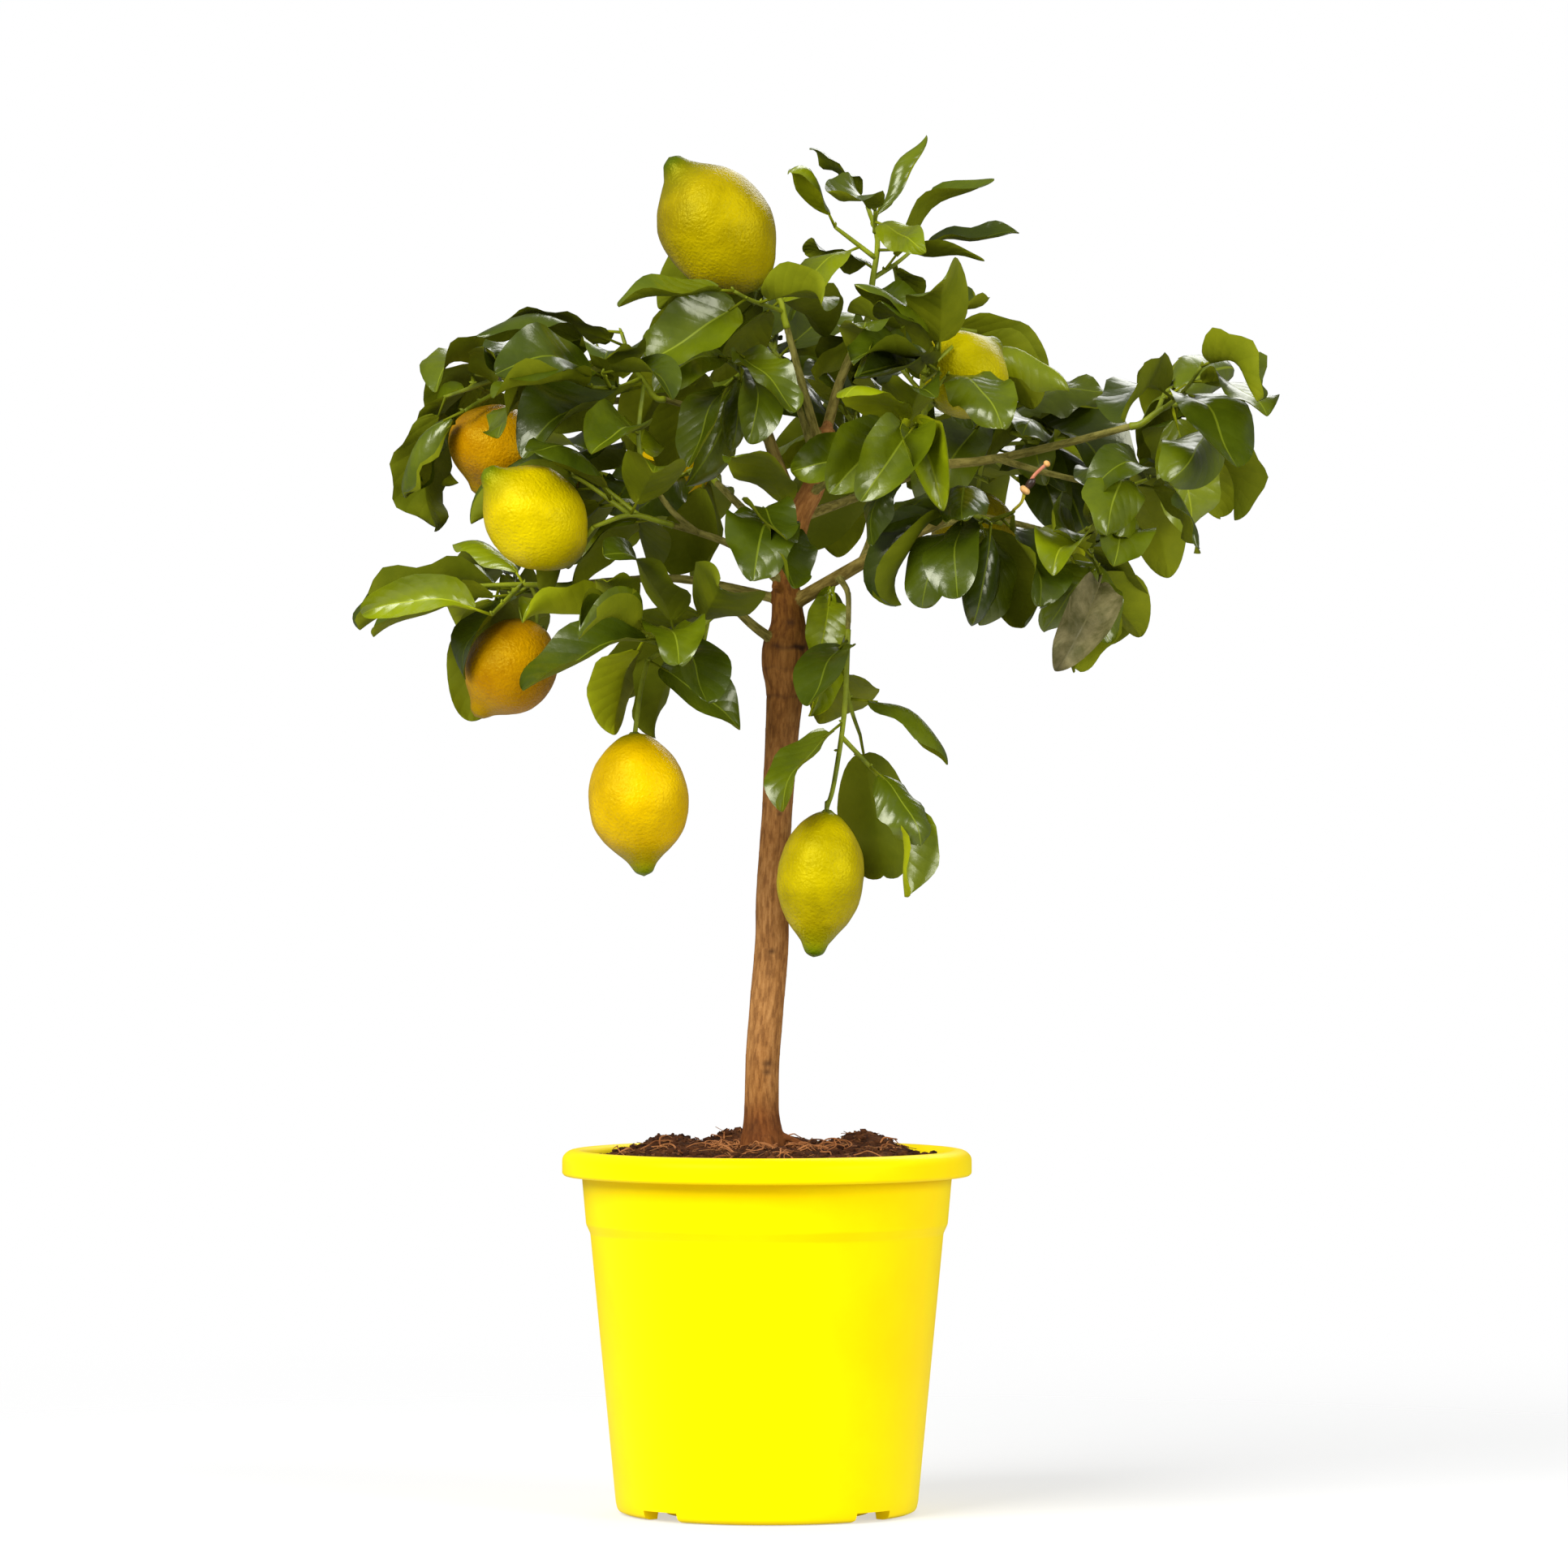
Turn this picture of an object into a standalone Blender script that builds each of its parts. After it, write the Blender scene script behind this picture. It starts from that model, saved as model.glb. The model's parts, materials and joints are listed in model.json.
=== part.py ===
"""A small grafted lemon tree in a round plastic pot, in metres, +Z up.

The pot stands on the flat middle of its underside, which is the origin. The trunk rises out of the
compost to its fork. Boughs leave the trunk or each other and end as bare tips, and on each tip stands
one mass: a stem, its side twigs, their leaves and, on some, a lemon, all grown by one seeded rule.
Lengths in the tables are in millimetres, and -Y is the side that the crown's tall shoot leans to.
"""

import math
import random
from collections import namedtuple

import bmesh
import bpy
import numpy as np
from mathutils import Matrix, Vector

MM = 0.001
CLEAR = 0.0003                 # gap between two solids that meet
GOLDEN = math.radians(137.5)   # turn from one leaf to the next round a twig
LEAF_ROOM = 0.0023             # half the room between leaves of two masses
OWN_SHARE = 0.62               # share of that room kept inside one mass
TRIES = 9                      # ways round the twig that a leaf is tried

# The trunk leans and bends: (x, z, radius) from the ground to its fork, with the graft collar at 495 to 507
TRUNK = [(-2.4, 213.3, 14.0), (-2.9, 227, 11.4), (-3.1, 239, 10.3), (-2.4, 268, 10.1), (-0.2, 296, 10.2),
         (2.9, 334, 10.0), (3.1, 363, 9.5), (5.9, 410, 9.1), (9.0, 458, 10.0), (10.6, 482, 11.0),
         (10.5, 495, 12.6), (10.9, 507, 12.8), (12.4, 519, 10.4), (11.6, 534, 8.8), (11.6, 553, 7.8),
         (18.5, 582, 7.2), (27.6, 601, 6.9), (32.8, 621, 6.1), (34.7, 635, 5.6)]

# Bough: the limb that it leaves and where along it, its tip, how far its middle bows from the
# straight line, and its radius at both ends
BOUGHS = {
    "low_left": ("trunk", 0.688, (-20, -30, 530), (-2, 2, 0), 3.6, 2.4),
    "left": ("trunk", 0.753, (-116, -4, 543), (0, 17, 9), 3.2, 2.0),
    "mid_left": ("trunk", 0.772, (-57, -54, 577), (3, -1, 6), 3.0, 1.9),
    "shoot": ("mid_left", 0.785, (-69, -68, 604), (0, -6, -4), 2.2, 1.6),
    "upper_left": ("trunk", 0.870, (-7, 4, 654), (-1, 9, 0), 4.8, 3.0),
    "far_left": ("upper_left", 0.835, (-130, 18, 650), (3, 27, 7), 3.0, 2.0),
    "inner_left": ("upper_left", 0.655, (-62, -30, 651), (1, -1, 2), 2.6, 1.9),
    "top_left": ("trunk", 0.960, (11, -24, 695), (0, -5, 0), 3.2, 2.0),
    "top": ("trunk", 0.985, (58, 22, 698), (-3, 7, 0), 3.6, 2.2),
    "top_right": ("top", 0.760, (89, 36, 695), (-1, 3, 1), 2.0, 1.6),
    "upper_right": ("trunk", 0.975, (88, -36, 640), (1, -5, -4), 3.0, 2.0),
    "far_right": ("trunk", 0.950, (216, 6, 637), (1, 23, -9), 3.6, 2.2),
    "outer_right": ("far_right", 0.557, (190, -14, 602), (-4, -5, 0), 2.4, 1.8),
    "right": ("trunk", 0.745, (105, -40, 582), (0, -1, 1), 4.6, 3.2),
    "low_right": ("right", 0.780, (164, -14, 574), (-3, 10, 10), 2.6, 1.9),
    "hanging": ("right", 0.323, (47, -44, 513), (3, -7, 7), 2.2, 1.6),
    "back_centre": ("right", 0.473, (55, 88, 612), (8, 2, -3), 3.0, 2.0),
    "back_left": ("trunk", 0.812, (-31, 112, 608), (3, 3, -2), 3.4, 2.2),
    "back_right": ("trunk", 0.870, (97, 112, 615), (-5, 5, -2), 3.4, 2.2),
    "back_top": ("trunk", 0.927, (14, 76, 666), (4, 8, -7), 3.2, 2.0),
    "centre": ("trunk", 0.905, (63, -62, 617), (0, -1, 2), 2.6, 1.7),
    "front": ("trunk", 0.805, (14, -62, 582), (5, -1, 0), 2.4, 1.6),
}

# Mass, each on the bough of its name: its stem's course, the middle of its space (both from the bough's
# tip) and half its size, the side twigs, the length of a leaf, its droop in radians and the seed
MASSES = {
    "top": ([(4, -2, 24), (7, -6, 48), (1, -10, 68)], (13, -6, 55), (81, 95, 64), 3, 66, 0.5, 23),
    "top_left": ([(-3, -2, 13), (-10, 0, 22)], (-38, 0, 15), (90, 100, 52), 3, 80, 0.7, 120),
    "upper_left": ([(-8, -14, 14), (-24, -26, 26)], (-33, -24, 8), (68, 95, 62), 3, 80, 1.0, 129),
    "inner_left": ([(-14, -10, 15), (-36, -16, 28)], (-40, -20, 19), (78, 95, 59), 3, 80, 0.9, 17),
    "far_left": ([(-20, -10, 13), (-41, -18, 17)], (-44, -18, -16), (59, 100, 67), 3, 80, 1.1, 95),
    "mid_left": ([(-22, -8, 5), (-43, -12, -2)], (-50, -6, 19), (71, 95, 71), 3, 80, 1.1, 98),
    "left": ([(-29, -8, 0), (-56, -12, -1)], (-56, -6, -23), (64, 100, 62), 3, 80, 1.0, 114),
    "low_left": ([(-20, -14, -13), (-49, -26, -32)], (-56, -24, -20), (78, 95, 59), 3, 80, 0.9, 44),
    "shoot": ([(-5, -2, 25), (-2, 2, 53)], (0, 0, 25), (54, 75, 67), 2, 76, 0.8, 45),
    "centre": ([(13, -8, 5), (25, -16, 10)], (6, -10, -4), (62, 85, 59), 3, 78, 1.0, 8),
    "front": ([(-5, -13, -5), (-10, -23, -7)], (-12, -23, -5), (48, 80, 48), 1, 74, 0.9, 111),
    "hanging": ([(-2, -2, -45), (-8, -2, -86), (-12, -2, -100)], (8, 0, -45), (69, 70, 114), 2, 80, 1.0, 115),
    "right": ([(14, -12, 0), (31, -20, -5)], (14, -20, -19), (59, 95, 59), 3, 78, 1.2, 1),
    "low_right": ([(14, -8, -5), (26, -14, -12)], (14, -16, -29), (52, 95, 55), 3, 78, 1.1, 33),
    "upper_right": ([(2, -12, 16), (4, -18, 32)], (9, -4, 27), (71, 100, 57), 4, 80, 0.9, 9),
    "top_right": ([(16, 4, 1), (35, 6, -1)], (39, 2, -18), (67, 85, 45), 3, 76, 0.9, 116),
    "far_right": ([(19, -4, 11), (43, -8, 14)], (33, -6, 0), (56, 105, 62), 4, 78, 1.1, 93),
    "outer_right": ([(14, -6, -1), (26, -10, -6)], (21, -10, -20), (48, 90, 50), 2, 76, 1.2, 50),
    "back_centre": ([(-1, 24, 19), (-2, 42, 36)], (0, 42, 26), (71, 110, 76), 3, 82, 1.0, 142),
    "back_left": ([(-14, 28, 12), (-31, 48, 19)], (-43, 28, 12), (86, 115, 71), 4, 82, 1.0, 134),
    "back_right": ([(24, 18, 5), (48, 38, 10)], (43, 28, 0), (86, 115, 69), 4, 82, 1.0, 16),
    "back_top": ([(-7, 14, 15), (-17, 24, 29)], (-21, 14, 15), (71, 110, 57), 3, 80, 1.0, 141),
}
LEAF_GAP = {"top": 13, "top_left": 11, "shoot": 13, "hanging": 22,
            "back_centre": 19, "back_left": 19, "back_right": 19}     # spacing along a twig, 15 elsewhere
BARE = {"top": 0.3, "hanging": 0.03}                                # share of the stem with no leaf, 0.25 elsewhere

# Lemon, by its mass: stalk end, tip, radius, and where its twig leaves the stem
LEMONS = {
    "top_left": ((0, -24, 718), (-52, -34, 794), 32.5, 1.0),
    "far_left": ((-150, 14, 648), (-170, 14, 596), 29.0, 0.3),
    "mid_left": ((-109, -58, 556), (-163, -74, 608), 28.5, 1.0),
    "left": ((-132, -4, 519), (-171, -6, 466), 26.5, 0.4),
    "low_left": ((-77, -56, 456), (-71, -56, 373), 29.2, 1.0),
    "hanging": ((35, -46, 411), (27, -46, 326), 25.4, 1.0),
    "upper_right": ((97, -26, 648), (136, -12, 686), 27.0, 0.15),
    "back_left": ((-51, 152, 652), (-62, 160, 594), 26.2, 0.6),
    "back_right": ((127, 150, 604), (124, 156, 542), 26.2, 0.7),
}

Leaf = namedtuple("Leaf", "root heading face petiole length width bend cup twist sweep tone")
Limb = namedtuple("Limb", "path radii")
Fruit = namedtuple("Fruit", "stalk axis length radius")
Mass = namedtuple("Mass", "heart reach twigs leaf droop gap bare")


def unit(v):
    v = np.asarray(v, float)
    return v / np.linalg.norm(v)


def turned(v, axis, angle):
    c, s = math.cos(angle), math.sin(angle)
    return v * c + np.cross(axis, v) * s + axis * (axis @ v) * (1 - c)


def smooth_path(points, spans):
    """A smooth curve through the points, with so many spans between two of them."""
    p = np.array(points, float)
    p = np.vstack([2 * p[0] - p[1], p, 2 * p[-1] - p[-2]])
    out = []
    for a, b, c, d in zip(p, p[1:], p[2:], p[3:]):
        for t in np.arange(spans) / spans:
            out.append(b + (c - a) * t / 2 + (a - 2.5 * b + 2 * c - d / 2) * t**2
                       + (1.5 * (b - c) + (d - a) / 2) * t**3)
    return np.array([*out, p[-2]])


def run_of(path):
    return np.concatenate([[0], np.cumsum(np.linalg.norm(np.diff(path, axis=0), axis=1))])


def on_path(path, share):
    """Point and direction at a share of a path's length."""
    run = run_of(path)
    want = share * run[-1]
    i = int(np.clip(np.searchsorted(run, want) - 1, 0, len(path) - 2))
    t = (want - run[i]) / (run[i + 1] - run[i])
    return path[i] * (1 - t) + path[i + 1] * t, unit(path[i + 1] - path[i])


def make_limbs():
    """The trunk and every bough as a path with a radius at each point."""
    line = np.array(TRUNK) * MM
    limbs = {"trunk": Limb(np.column_stack([line[:, 0], np.zeros(len(line)), line[:, 1]]), line[:, 2])}
    for name, (parent, share, tip, bow, thick, thin) in BOUGHS.items():
        start, _ = on_path(limbs[parent].path, share)
        tip = np.array(tip) * MM
        path = smooth_path([start, (start + tip) / 2 + np.array(bow) * MM, tip], 2)
        limbs[name] = Limb(path, np.linspace(thick, thin, len(path)) * MM)
    return limbs


def outline(s):
    """Half width of a leaf along its rib, as a share of the greatest."""
    return np.sin(np.pi * np.clip(s, 0, 1) ** 0.93) ** 0.66


def leaf_points(leaf, s, t, lift=0.0):
    """Points of the blade: s along the rib from 0 to 1, t across from -1 to 1."""
    s, t = np.broadcast_arrays(np.asarray(s, float), np.asarray(t, float))
    side = np.cross(leaf.heading, leaf.face)
    angle = leaf.bend * s
    rib = (leaf.root + leaf.heading * (leaf.petiole + leaf.length * np.sin(angle) / leaf.bend)[..., None]
           - leaf.face * (leaf.length * (1 - np.cos(angle)) / leaf.bend)[..., None]
           + side * (leaf.sweep * leaf.length * s * s)[..., None])
    up = leaf.face * np.cos(angle)[..., None] + leaf.heading * np.sin(angle)[..., None]
    roll = (leaf.twist * s)[..., None]
    across = side * np.cos(roll) + up * np.sin(roll)
    up = up * np.cos(roll) - side * np.sin(roll)
    half = leaf.width / 2 * outline(s)
    out = half * np.sin(leaf.cup * t) / leaf.cup
    rise = half * (1 - np.cos(leaf.cup * t)) / leaf.cup + lift
    return rib + across * out[..., None] + up * rise[..., None]


PROBE_S, PROBE_T = (g.ravel() for g in np.meshgrid(np.linspace(0.1, 1, 11), np.linspace(-1, 1, 9)))


def lemon_profile(s):
    """Radius share along a lemon: s is 0 at the stalk and 1 at the nipple's tip."""
    body = np.sin(np.pi * np.clip(s / 0.93, 0, 1) ** 0.95) ** 0.62
    nipple = 0.2 * np.clip((s - 0.7) / 0.1, 0, 1) * np.sqrt(np.clip((1 - s) / 0.16, 0, 1))
    return np.maximum(body, nipple)


def lemon_probe(fruit):
    s = np.linspace(0.1, 0.95, 7)
    return fruit.stalk + fruit.axis * (fruit.length * s)[:, None], fruit.radius * lemon_profile(s)


def limb_probe(limb):
    run = run_of(limb.path)
    want = np.linspace(0, run[-1], max(2, int(run[-1] / 0.004)))
    centres = np.stack([np.interp(want, run, limb.path[:, k]) for k in range(3)], 1)
    return centres, np.interp(want, run, limb.radii)


class Room:
    """What is placed so far, each piece stood for by a string of balls."""

    def __init__(self):
        self.balls = np.zeros((0, 5))

    def add(self, balls, owner):
        centres, radii = balls
        rows = np.empty((len(centres), 5))
        rows[:, :3] = centres
        rows[:, 3] = radii
        rows[:, 4] = owner
        self.balls = np.vstack([self.balls, rows])

    def clear(self, balls, owner):
        """Whether these balls touch nothing that is placed."""
        centres, radii = balls
        middle = centres.mean(0)
        reach = np.linalg.norm(centres - middle, axis=1).max() + 0.045
        near = self.balls[((self.balls[:, :3] - middle) ** 2).sum(1) < reach**2]
        if not len(near):
            return True
        gap = np.linalg.norm(centres[:, None] - near[None, :, :3], axis=2)
        share = np.where(near[:, 4] == owner, OWN_SHARE, 1.0)
        need = (np.broadcast_to(radii, len(centres))[:, None] + near[:, 3]) * share
        return bool((gap > need).all())


def inside(points, mass):
    """Whether the points keep within the space of the mass."""
    return bool(((np.abs((points - mass.heart) / mass.reach) ** 2.6).sum(-1) <= 1).all())


def try_leaf(rng, spot, along, out, opened, mass, room, owner):
    """A leaf at this spot of a twig, or None where it would touch or leave the space."""
    away = spot - mass.heart
    away = away / max(np.linalg.norm(away), 1e-6)
    heading = unit(along * math.cos(opened) + out * math.sin(opened) + [0, 0, rng.uniform(-0.15, 0.25)])
    heading = unit(heading + away * 0.35)
    sky = np.array([0, 0, 1.0]) + away * rng.uniform(0.0, 0.5)
    face = sky - heading * (sky @ heading)
    if np.linalg.norm(face) < 0.2:
        face = np.cross(heading, [0.6, 0.8, 0.0])
    face = turned(unit(face), heading, math.radians(rng.gauss(0, 22)))
    length = mass.leaf * rng.uniform(0.76, 1.12)
    leaf = Leaf(spot, heading, face, length * rng.uniform(0.12, 0.18), length, length * rng.uniform(0.5, 0.6),
                mass.droop * rng.uniform(0.55, 1.35), rng.choice([-1, 1, 1]) * rng.uniform(0.15, 0.75),
                rng.uniform(-0.5, 0.5), rng.uniform(-0.12, 0.12), rng.random())
    points = leaf_points(leaf, PROBE_S, PROBE_T)
    if not inside(points, mass) or not room.clear((points, LEAF_ROOM), owner):
        return None
    room.add((points, LEAF_ROOM), owner)
    return leaf


def dress(rng, path, bare, mass, room, owner, roll):
    """Leaves along a twig, the last at its tip: (share, leaf) pairs."""
    count = max(1, round(run_of(path)[-1] * (1 - bare) / mass.gap))
    grown = []
    for k in range(count, -1, -1):
        share = bare + (1 - bare) * max(0, k - (0.4 * rng.random() if k < count else 0)) / count
        spot, along = on_path(path, share)
        across = unit(np.cross(along, [0.3, 0.2, 1.0]))
        for _ in range(TRIES):
            roll += GOLDEN
            opened = math.radians(rng.uniform(10, 40) if k == count else rng.uniform(45, 75))
            leaf = try_leaf(rng, spot, along, turned(across, along, roll), opened, mass, room, owner)
            if leaf:
                grown.append((share, leaf))
                break
    return grown


def side_twig(rng, stem, share, roll, mass, room, owner):
    """A twig with its leaves on the stem at this share, or None."""
    spot, along = on_path(stem, share)
    for _ in range(TRIES):
        roll += GOLDEN
        out = turned(unit(np.cross(along, [0.3, 0.2, 1.0])), along, roll)
        lean = math.radians(rng.uniform(35, 65))
        way = unit(along * math.cos(lean) + out * math.sin(lean))
        size = 0.05 * rng.uniform(0.7, 1.25)
        middle = spot + way * size * 0.5
        tip = middle + unit(way + [0, 0, rng.uniform(-0.25, 0.4)]) * size * 0.5
        twig = Limb(np.array([spot, middle, tip]), np.array([1.5, 1.2, 1.0]) * MM)
        centres, radii = limb_probe(twig)
        if not inside(twig.path[1:], mass) or not room.clear((centres[3:], radii[3:] + 0.002), owner):
            continue
        before = room.balls
        room.add((centres, radii), owner)
        grown = dress(rng, twig.path, 0.25, mass, room, owner, roll)
        if len(grown) < 2:
            room.balls = before
            continue
        last = max(share for share, _ in grown)
        if last < 1:
            end, _ = on_path(twig.path, last)
            path = np.array([spot, middle, end] if last > 0.6 else [spot, (spot + end) / 2, end])
            twig = Limb(path, twig.radii)
        return twig, [leaf for _, leaf in grown]
    return None


def stem_of(name, limbs):
    """The stem of a mass, which starts just clear of its bough's tip, and the twig of its lemon."""
    bough = limbs[name].path
    way = unit(bough[-1] - bough[-2])
    start = bough[-1] + way * CLEAR
    knee = start + way * 0.004
    path = np.array([start, knee, *(bough[-1] + np.array(p) * MM for p in MASSES[name][0])])
    twigs = [Limb(path, np.linspace(1.9, 1.2, len(path)) * MM)]
    fruit = lemon_of(name)
    if fruit:
        hold, _ = on_path(path, LEMONS[name][3])
        middle = (hold + fruit.stalk) / 2 + [0, 0, 0.004]
        twigs.append(Limb(np.array([hold, middle, fruit.stalk + fruit.axis * 0.004]), np.full(3, 1.3 * MM)))
    return twigs


def grow(name, limbs, room, seed):
    """Twigs, leaves and lemon of one mass, which is the room's owner of that place in the list."""
    _, heart, reach, twig_count, leaf, droop, _ = MASSES[name]
    owner = list(MASSES).index(name)
    rng = random.Random(seed)
    mass = Mass(limbs[name].path[-1] + np.array(heart) * MM, np.array(reach) * MM, twig_count, leaf * MM, droop,
                LEAF_GAP.get(name, 15) * MM, BARE.get(name, 0.25))
    twigs = stem_of(name, limbs)
    stem = twigs[0].path
    leaves = []
    roll = rng.uniform(0, 2 * math.pi)
    for k in range(mass.twigs):
        roll += GOLDEN
        found = side_twig(rng, stem, 0.25 + 0.67 * (k + 0.6 * rng.random()) / mass.twigs, roll, mass, room, owner)
        if found:
            twigs.append(found[0])
            leaves += found[1]
    leaves += [leaf for _, leaf in dress(rng, stem, mass.bare, mass, room, owner, roll)]
    return twigs, leaves, lemon_of(name)


def lemon_of(name):
    if name not in LEMONS:
        return None
    stalk, tip, radius, _ = LEMONS[name]
    line = (np.array(tip) - stalk) * MM
    return Fruit(np.array(stalk) * MM, unit(line), float(np.linalg.norm(line)), radius * MM)


def grow_tree():
    """The limbs, and each mass's twigs, leaves and lemon."""
    limbs = make_limbs()
    room = empty_room(limbs)
    return limbs, {name: grow(name, limbs, room, MASSES[name][-1]) for name in MASSES}


def empty_room(limbs):
    """The room that the limbs, stems and lemons take, before any leaf grows."""
    room = Room()
    for limb in limbs.values():
        room.add(limb_probe(limb), -1)
    for owner, name in enumerate(MASSES):
        for twig in stem_of(name, limbs):
            room.add(limb_probe(twig), owner)
        if name in LEMONS:
            room.add(lemon_probe(lemon_of(name)), owner)
    return room


# Pot, in mm
RIM_RADIUS = 120.0
RIM_TOP = 212.6
FLOOR = 8.0
FOOT_OUTER = 83.5
NOTCH_WIDTH = 27.0
NOTCH_HEIGHT = 5.6
POT_SIDES = 30

# Compost, in mm: its level at the wall and under the trunk, and its lumps as (x, y, height, width)
SOIL_EDGE = 207.0
SOIL_MIDDLE = 213.0
SOIL_LANDING = 46.0
SOIL_RINGS = [46, 64, 83, 102.6]
LUMPS = [(59, 34, 11, 13), (-17, 66, 10, 12), (-58, 40, 8, 15), (76, -30, 4, 14), (10, -74, 3, 16),
         (-66, -44, 4, 15), (22, 80, 6, 14)]

# Roots that show on the compost, in mm: where each ends, and its radius at the trunk
ROOTS = [((0, -24, 209), 6.5), ((30, -8, 210), 5.0), ((-19, 17, 209), 5.5), ((14, 24, 209), 5.0)]
TRUNK_SIDES = 8
BOUGH_SIDES = 6
CUT_CLEAR = 0.00042   # leaves 0.3 mm or more between the flats of two limbs

LEAF_RINGS = (0.13, 0.42, 0.76)
LEAF_THICK = 0.0011
PETIOLE_RADIUS = 0.0009
LEMON_SIDES = 8
LEMON_STEPS = (0.0, 0.06, 0.2, 0.45, 0.7, 0.87, 0.94, 1.0)


def clear_scene():
    for obj in list(bpy.data.objects):
        bpy.data.objects.remove(obj, do_unlink=True)


def material(name, colour, roughness, metallic=0.0):
    made = bpy.data.materials.new(name)
    made.use_nodes = True
    shader = made.node_tree.nodes["Principled BSDF"]
    shader.inputs["Base Color"].default_value = (*colour, 1)
    shader.inputs["Roughness"].default_value = roughness
    shader.inputs["Metallic"].default_value = metallic
    return made


def collection(name):
    made = bpy.data.collections.new(name)
    bpy.context.scene.collection.children.link(made)
    return made


def mesh_object(name, mesh, where, look=None):
    made = bpy.data.objects.new(name, mesh)
    where.objects.link(made)
    if look:
        mesh.materials.append(look)
    return made


def mesh_from(bm, name):
    bmesh.ops.recalc_face_normals(bm, faces=bm.faces)
    mesh = bpy.data.meshes.new(name)
    bm.to_mesh(mesh)
    bm.free()
    return mesh


def limb_curve(name, limb, sides, grow_by=0.0):
    """A tapering round limb as a bevelled curve, longer and thicker by grow_by where it is to be a cutter."""
    path = limb.path
    if grow_by:
        path = np.vstack([path[0] - unit(path[1] - path[0]) * grow_by, path[1:-1],
                          path[-1] + unit(path[-1] - path[-2]) * grow_by])
    curve = bpy.data.curves.new(name, "CURVE")
    curve.dimensions = "3D"
    curve.bevel_depth = 1.0
    curve.bevel_resolution = (sides - 4) // 2
    curve.use_fill_caps = True
    line = curve.splines.new("POLY")
    line.points.add(len(path) - 1)
    for point, spot, radius in zip(line.points, path, limb.radii):
        point.co = (*spot, 1)
        point.radius = radius + grow_by
    holder = bpy.data.objects.new(name, curve)
    bpy.context.scene.collection.objects.link(holder)
    return holder


def meshes_of(holders):
    """Each curve made a mesh, with its caps welded to its sides, and the curve removed."""
    made = []
    graph = bpy.context.evaluated_depsgraph_get()
    for holder in holders:
        mesh = bpy.data.meshes.new_from_object(holder.evaluated_get(graph))
        bm = bmesh.new()
        bm.from_mesh(mesh)
        bpy.data.meshes.remove(mesh)
        bmesh.ops.remove_doubles(bm, verts=bm.verts, dist=1e-6)
        made.append(mesh_from(bm, holder.name))
    for holder in holders:
        curve = holder.data
        bpy.data.objects.remove(holder, do_unlink=True)
        bpy.data.curves.remove(curve)
    return made


def leaf_mesh(name, leaf):
    """A thin leaf with a thick rib: a loft of four-cornered sections from the twig to the tip.

    Every side is split from its edge corner to the next rib corner, above and below alike, so that the
    two sides of so thin a leaf never cross.
    """
    bm = bmesh.new()
    side = np.cross(leaf.heading, leaf.face)
    root = [leaf.root + v * PETIOLE_RADIUS for v in (-side, leaf.face, side, -leaf.face)]
    rings = [[bm.verts.new(p) for p in root]]
    for s in LEAF_RINGS:
        corners = leaf_points(leaf, [s] * 4, [-1, 0, 1, 0], np.array([0, 0.5, 0, -0.5]) * LEAF_THICK)
        rings.append([bm.verts.new(p) for p in corners])
    for low, high in zip(rings, rings[1:]):
        for edge in (0, 2):
            for rib in (1, 3):
                bm.faces.new((low[edge], low[rib], high[rib]))
                bm.faces.new((low[edge], high[rib], high[edge]))
    bm.faces.new(rings[0])
    tip = bm.verts.new(leaf_points(leaf, [1.0], [0.0])[0])
    for k in range(4):
        bm.faces.new((rings[-1][k], rings[-1][k - 1], tip))
    return mesh_from(bm, name)


def lemon_mesh(name, fruit):
    """A lemon: half its outline spun about its length."""
    bm = bmesh.new()
    share = np.array(LEMON_STEPS)
    radii = fruit.radius * lemon_profile(share)
    radii[0] = radii[-1] = 0
    line = [bm.verts.new((r, 0, s * fruit.length)) for r, s in zip(radii, share)]
    edges = [bm.edges.new(pair) for pair in zip(line, line[1:])]
    bmesh.ops.spin(bm, geom=line + edges, cent=(0, 0, 0), axis=(0, 0, 1), angle=2 * math.pi, steps=LEMON_SIDES)
    bmesh.ops.remove_doubles(bm, verts=bm.verts, dist=1e-5)
    turn = Vector((0, 0, 1)).rotation_difference(Vector(fruit.axis)).to_matrix().to_4x4()
    bmesh.ops.transform(bm, matrix=Matrix.Translation(fruit.stalk) @ turn, verts=bm.verts)
    return mesh_from(bm, name)


def main_body(mesh):
    """Keeps the greatest connected piece of a mesh, so that a loose scrap or a sealed hollow is dropped."""
    bm = bmesh.new()
    bm.from_mesh(mesh)
    left = set(bm.verts)
    islands = []
    while left:
        island = {left.pop()}
        edge = list(island)
        while edge:
            for link in edge.pop().link_edges:
                for vert in link.verts:
                    if vert not in island:
                        island.add(vert)
                        edge.append(vert)
        left -= island
        islands.append(island)
    islands.sort(key=len)
    for island in islands[:-1]:
        bmesh.ops.delete(bm, geom=list(island), context="VERTS")
    bm.to_mesh(mesh)
    bm.free()


def joined(obj, pieces, operation="UNION", solver="EXACT"):
    """Joins the pieces to the object, or cuts them from it, in one applied Boolean, and removes them."""
    group = bpy.data.collections.new(obj.name + " pieces")
    bpy.context.scene.collection.children.link(group)
    for index, mesh in enumerate(pieces):
        group.objects.link(bpy.data.objects.new(f"{obj.name} piece {index}", mesh))
    boolean = obj.modifiers.new("Joined", "BOOLEAN")
    boolean.operation = operation
    boolean.operand_type = "COLLECTION"
    boolean.collection = group
    boolean.solver = solver
    graph = bpy.context.evaluated_depsgraph_get()
    mesh = bpy.data.meshes.new_from_object(obj.evaluated_get(graph))
    obj.modifiers.clear()
    for piece in list(group.objects):
        bpy.data.objects.remove(piece, do_unlink=True)
    bpy.data.collections.remove(group)
    obj.data = mesh
    main_body(mesh)
    return obj


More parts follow.
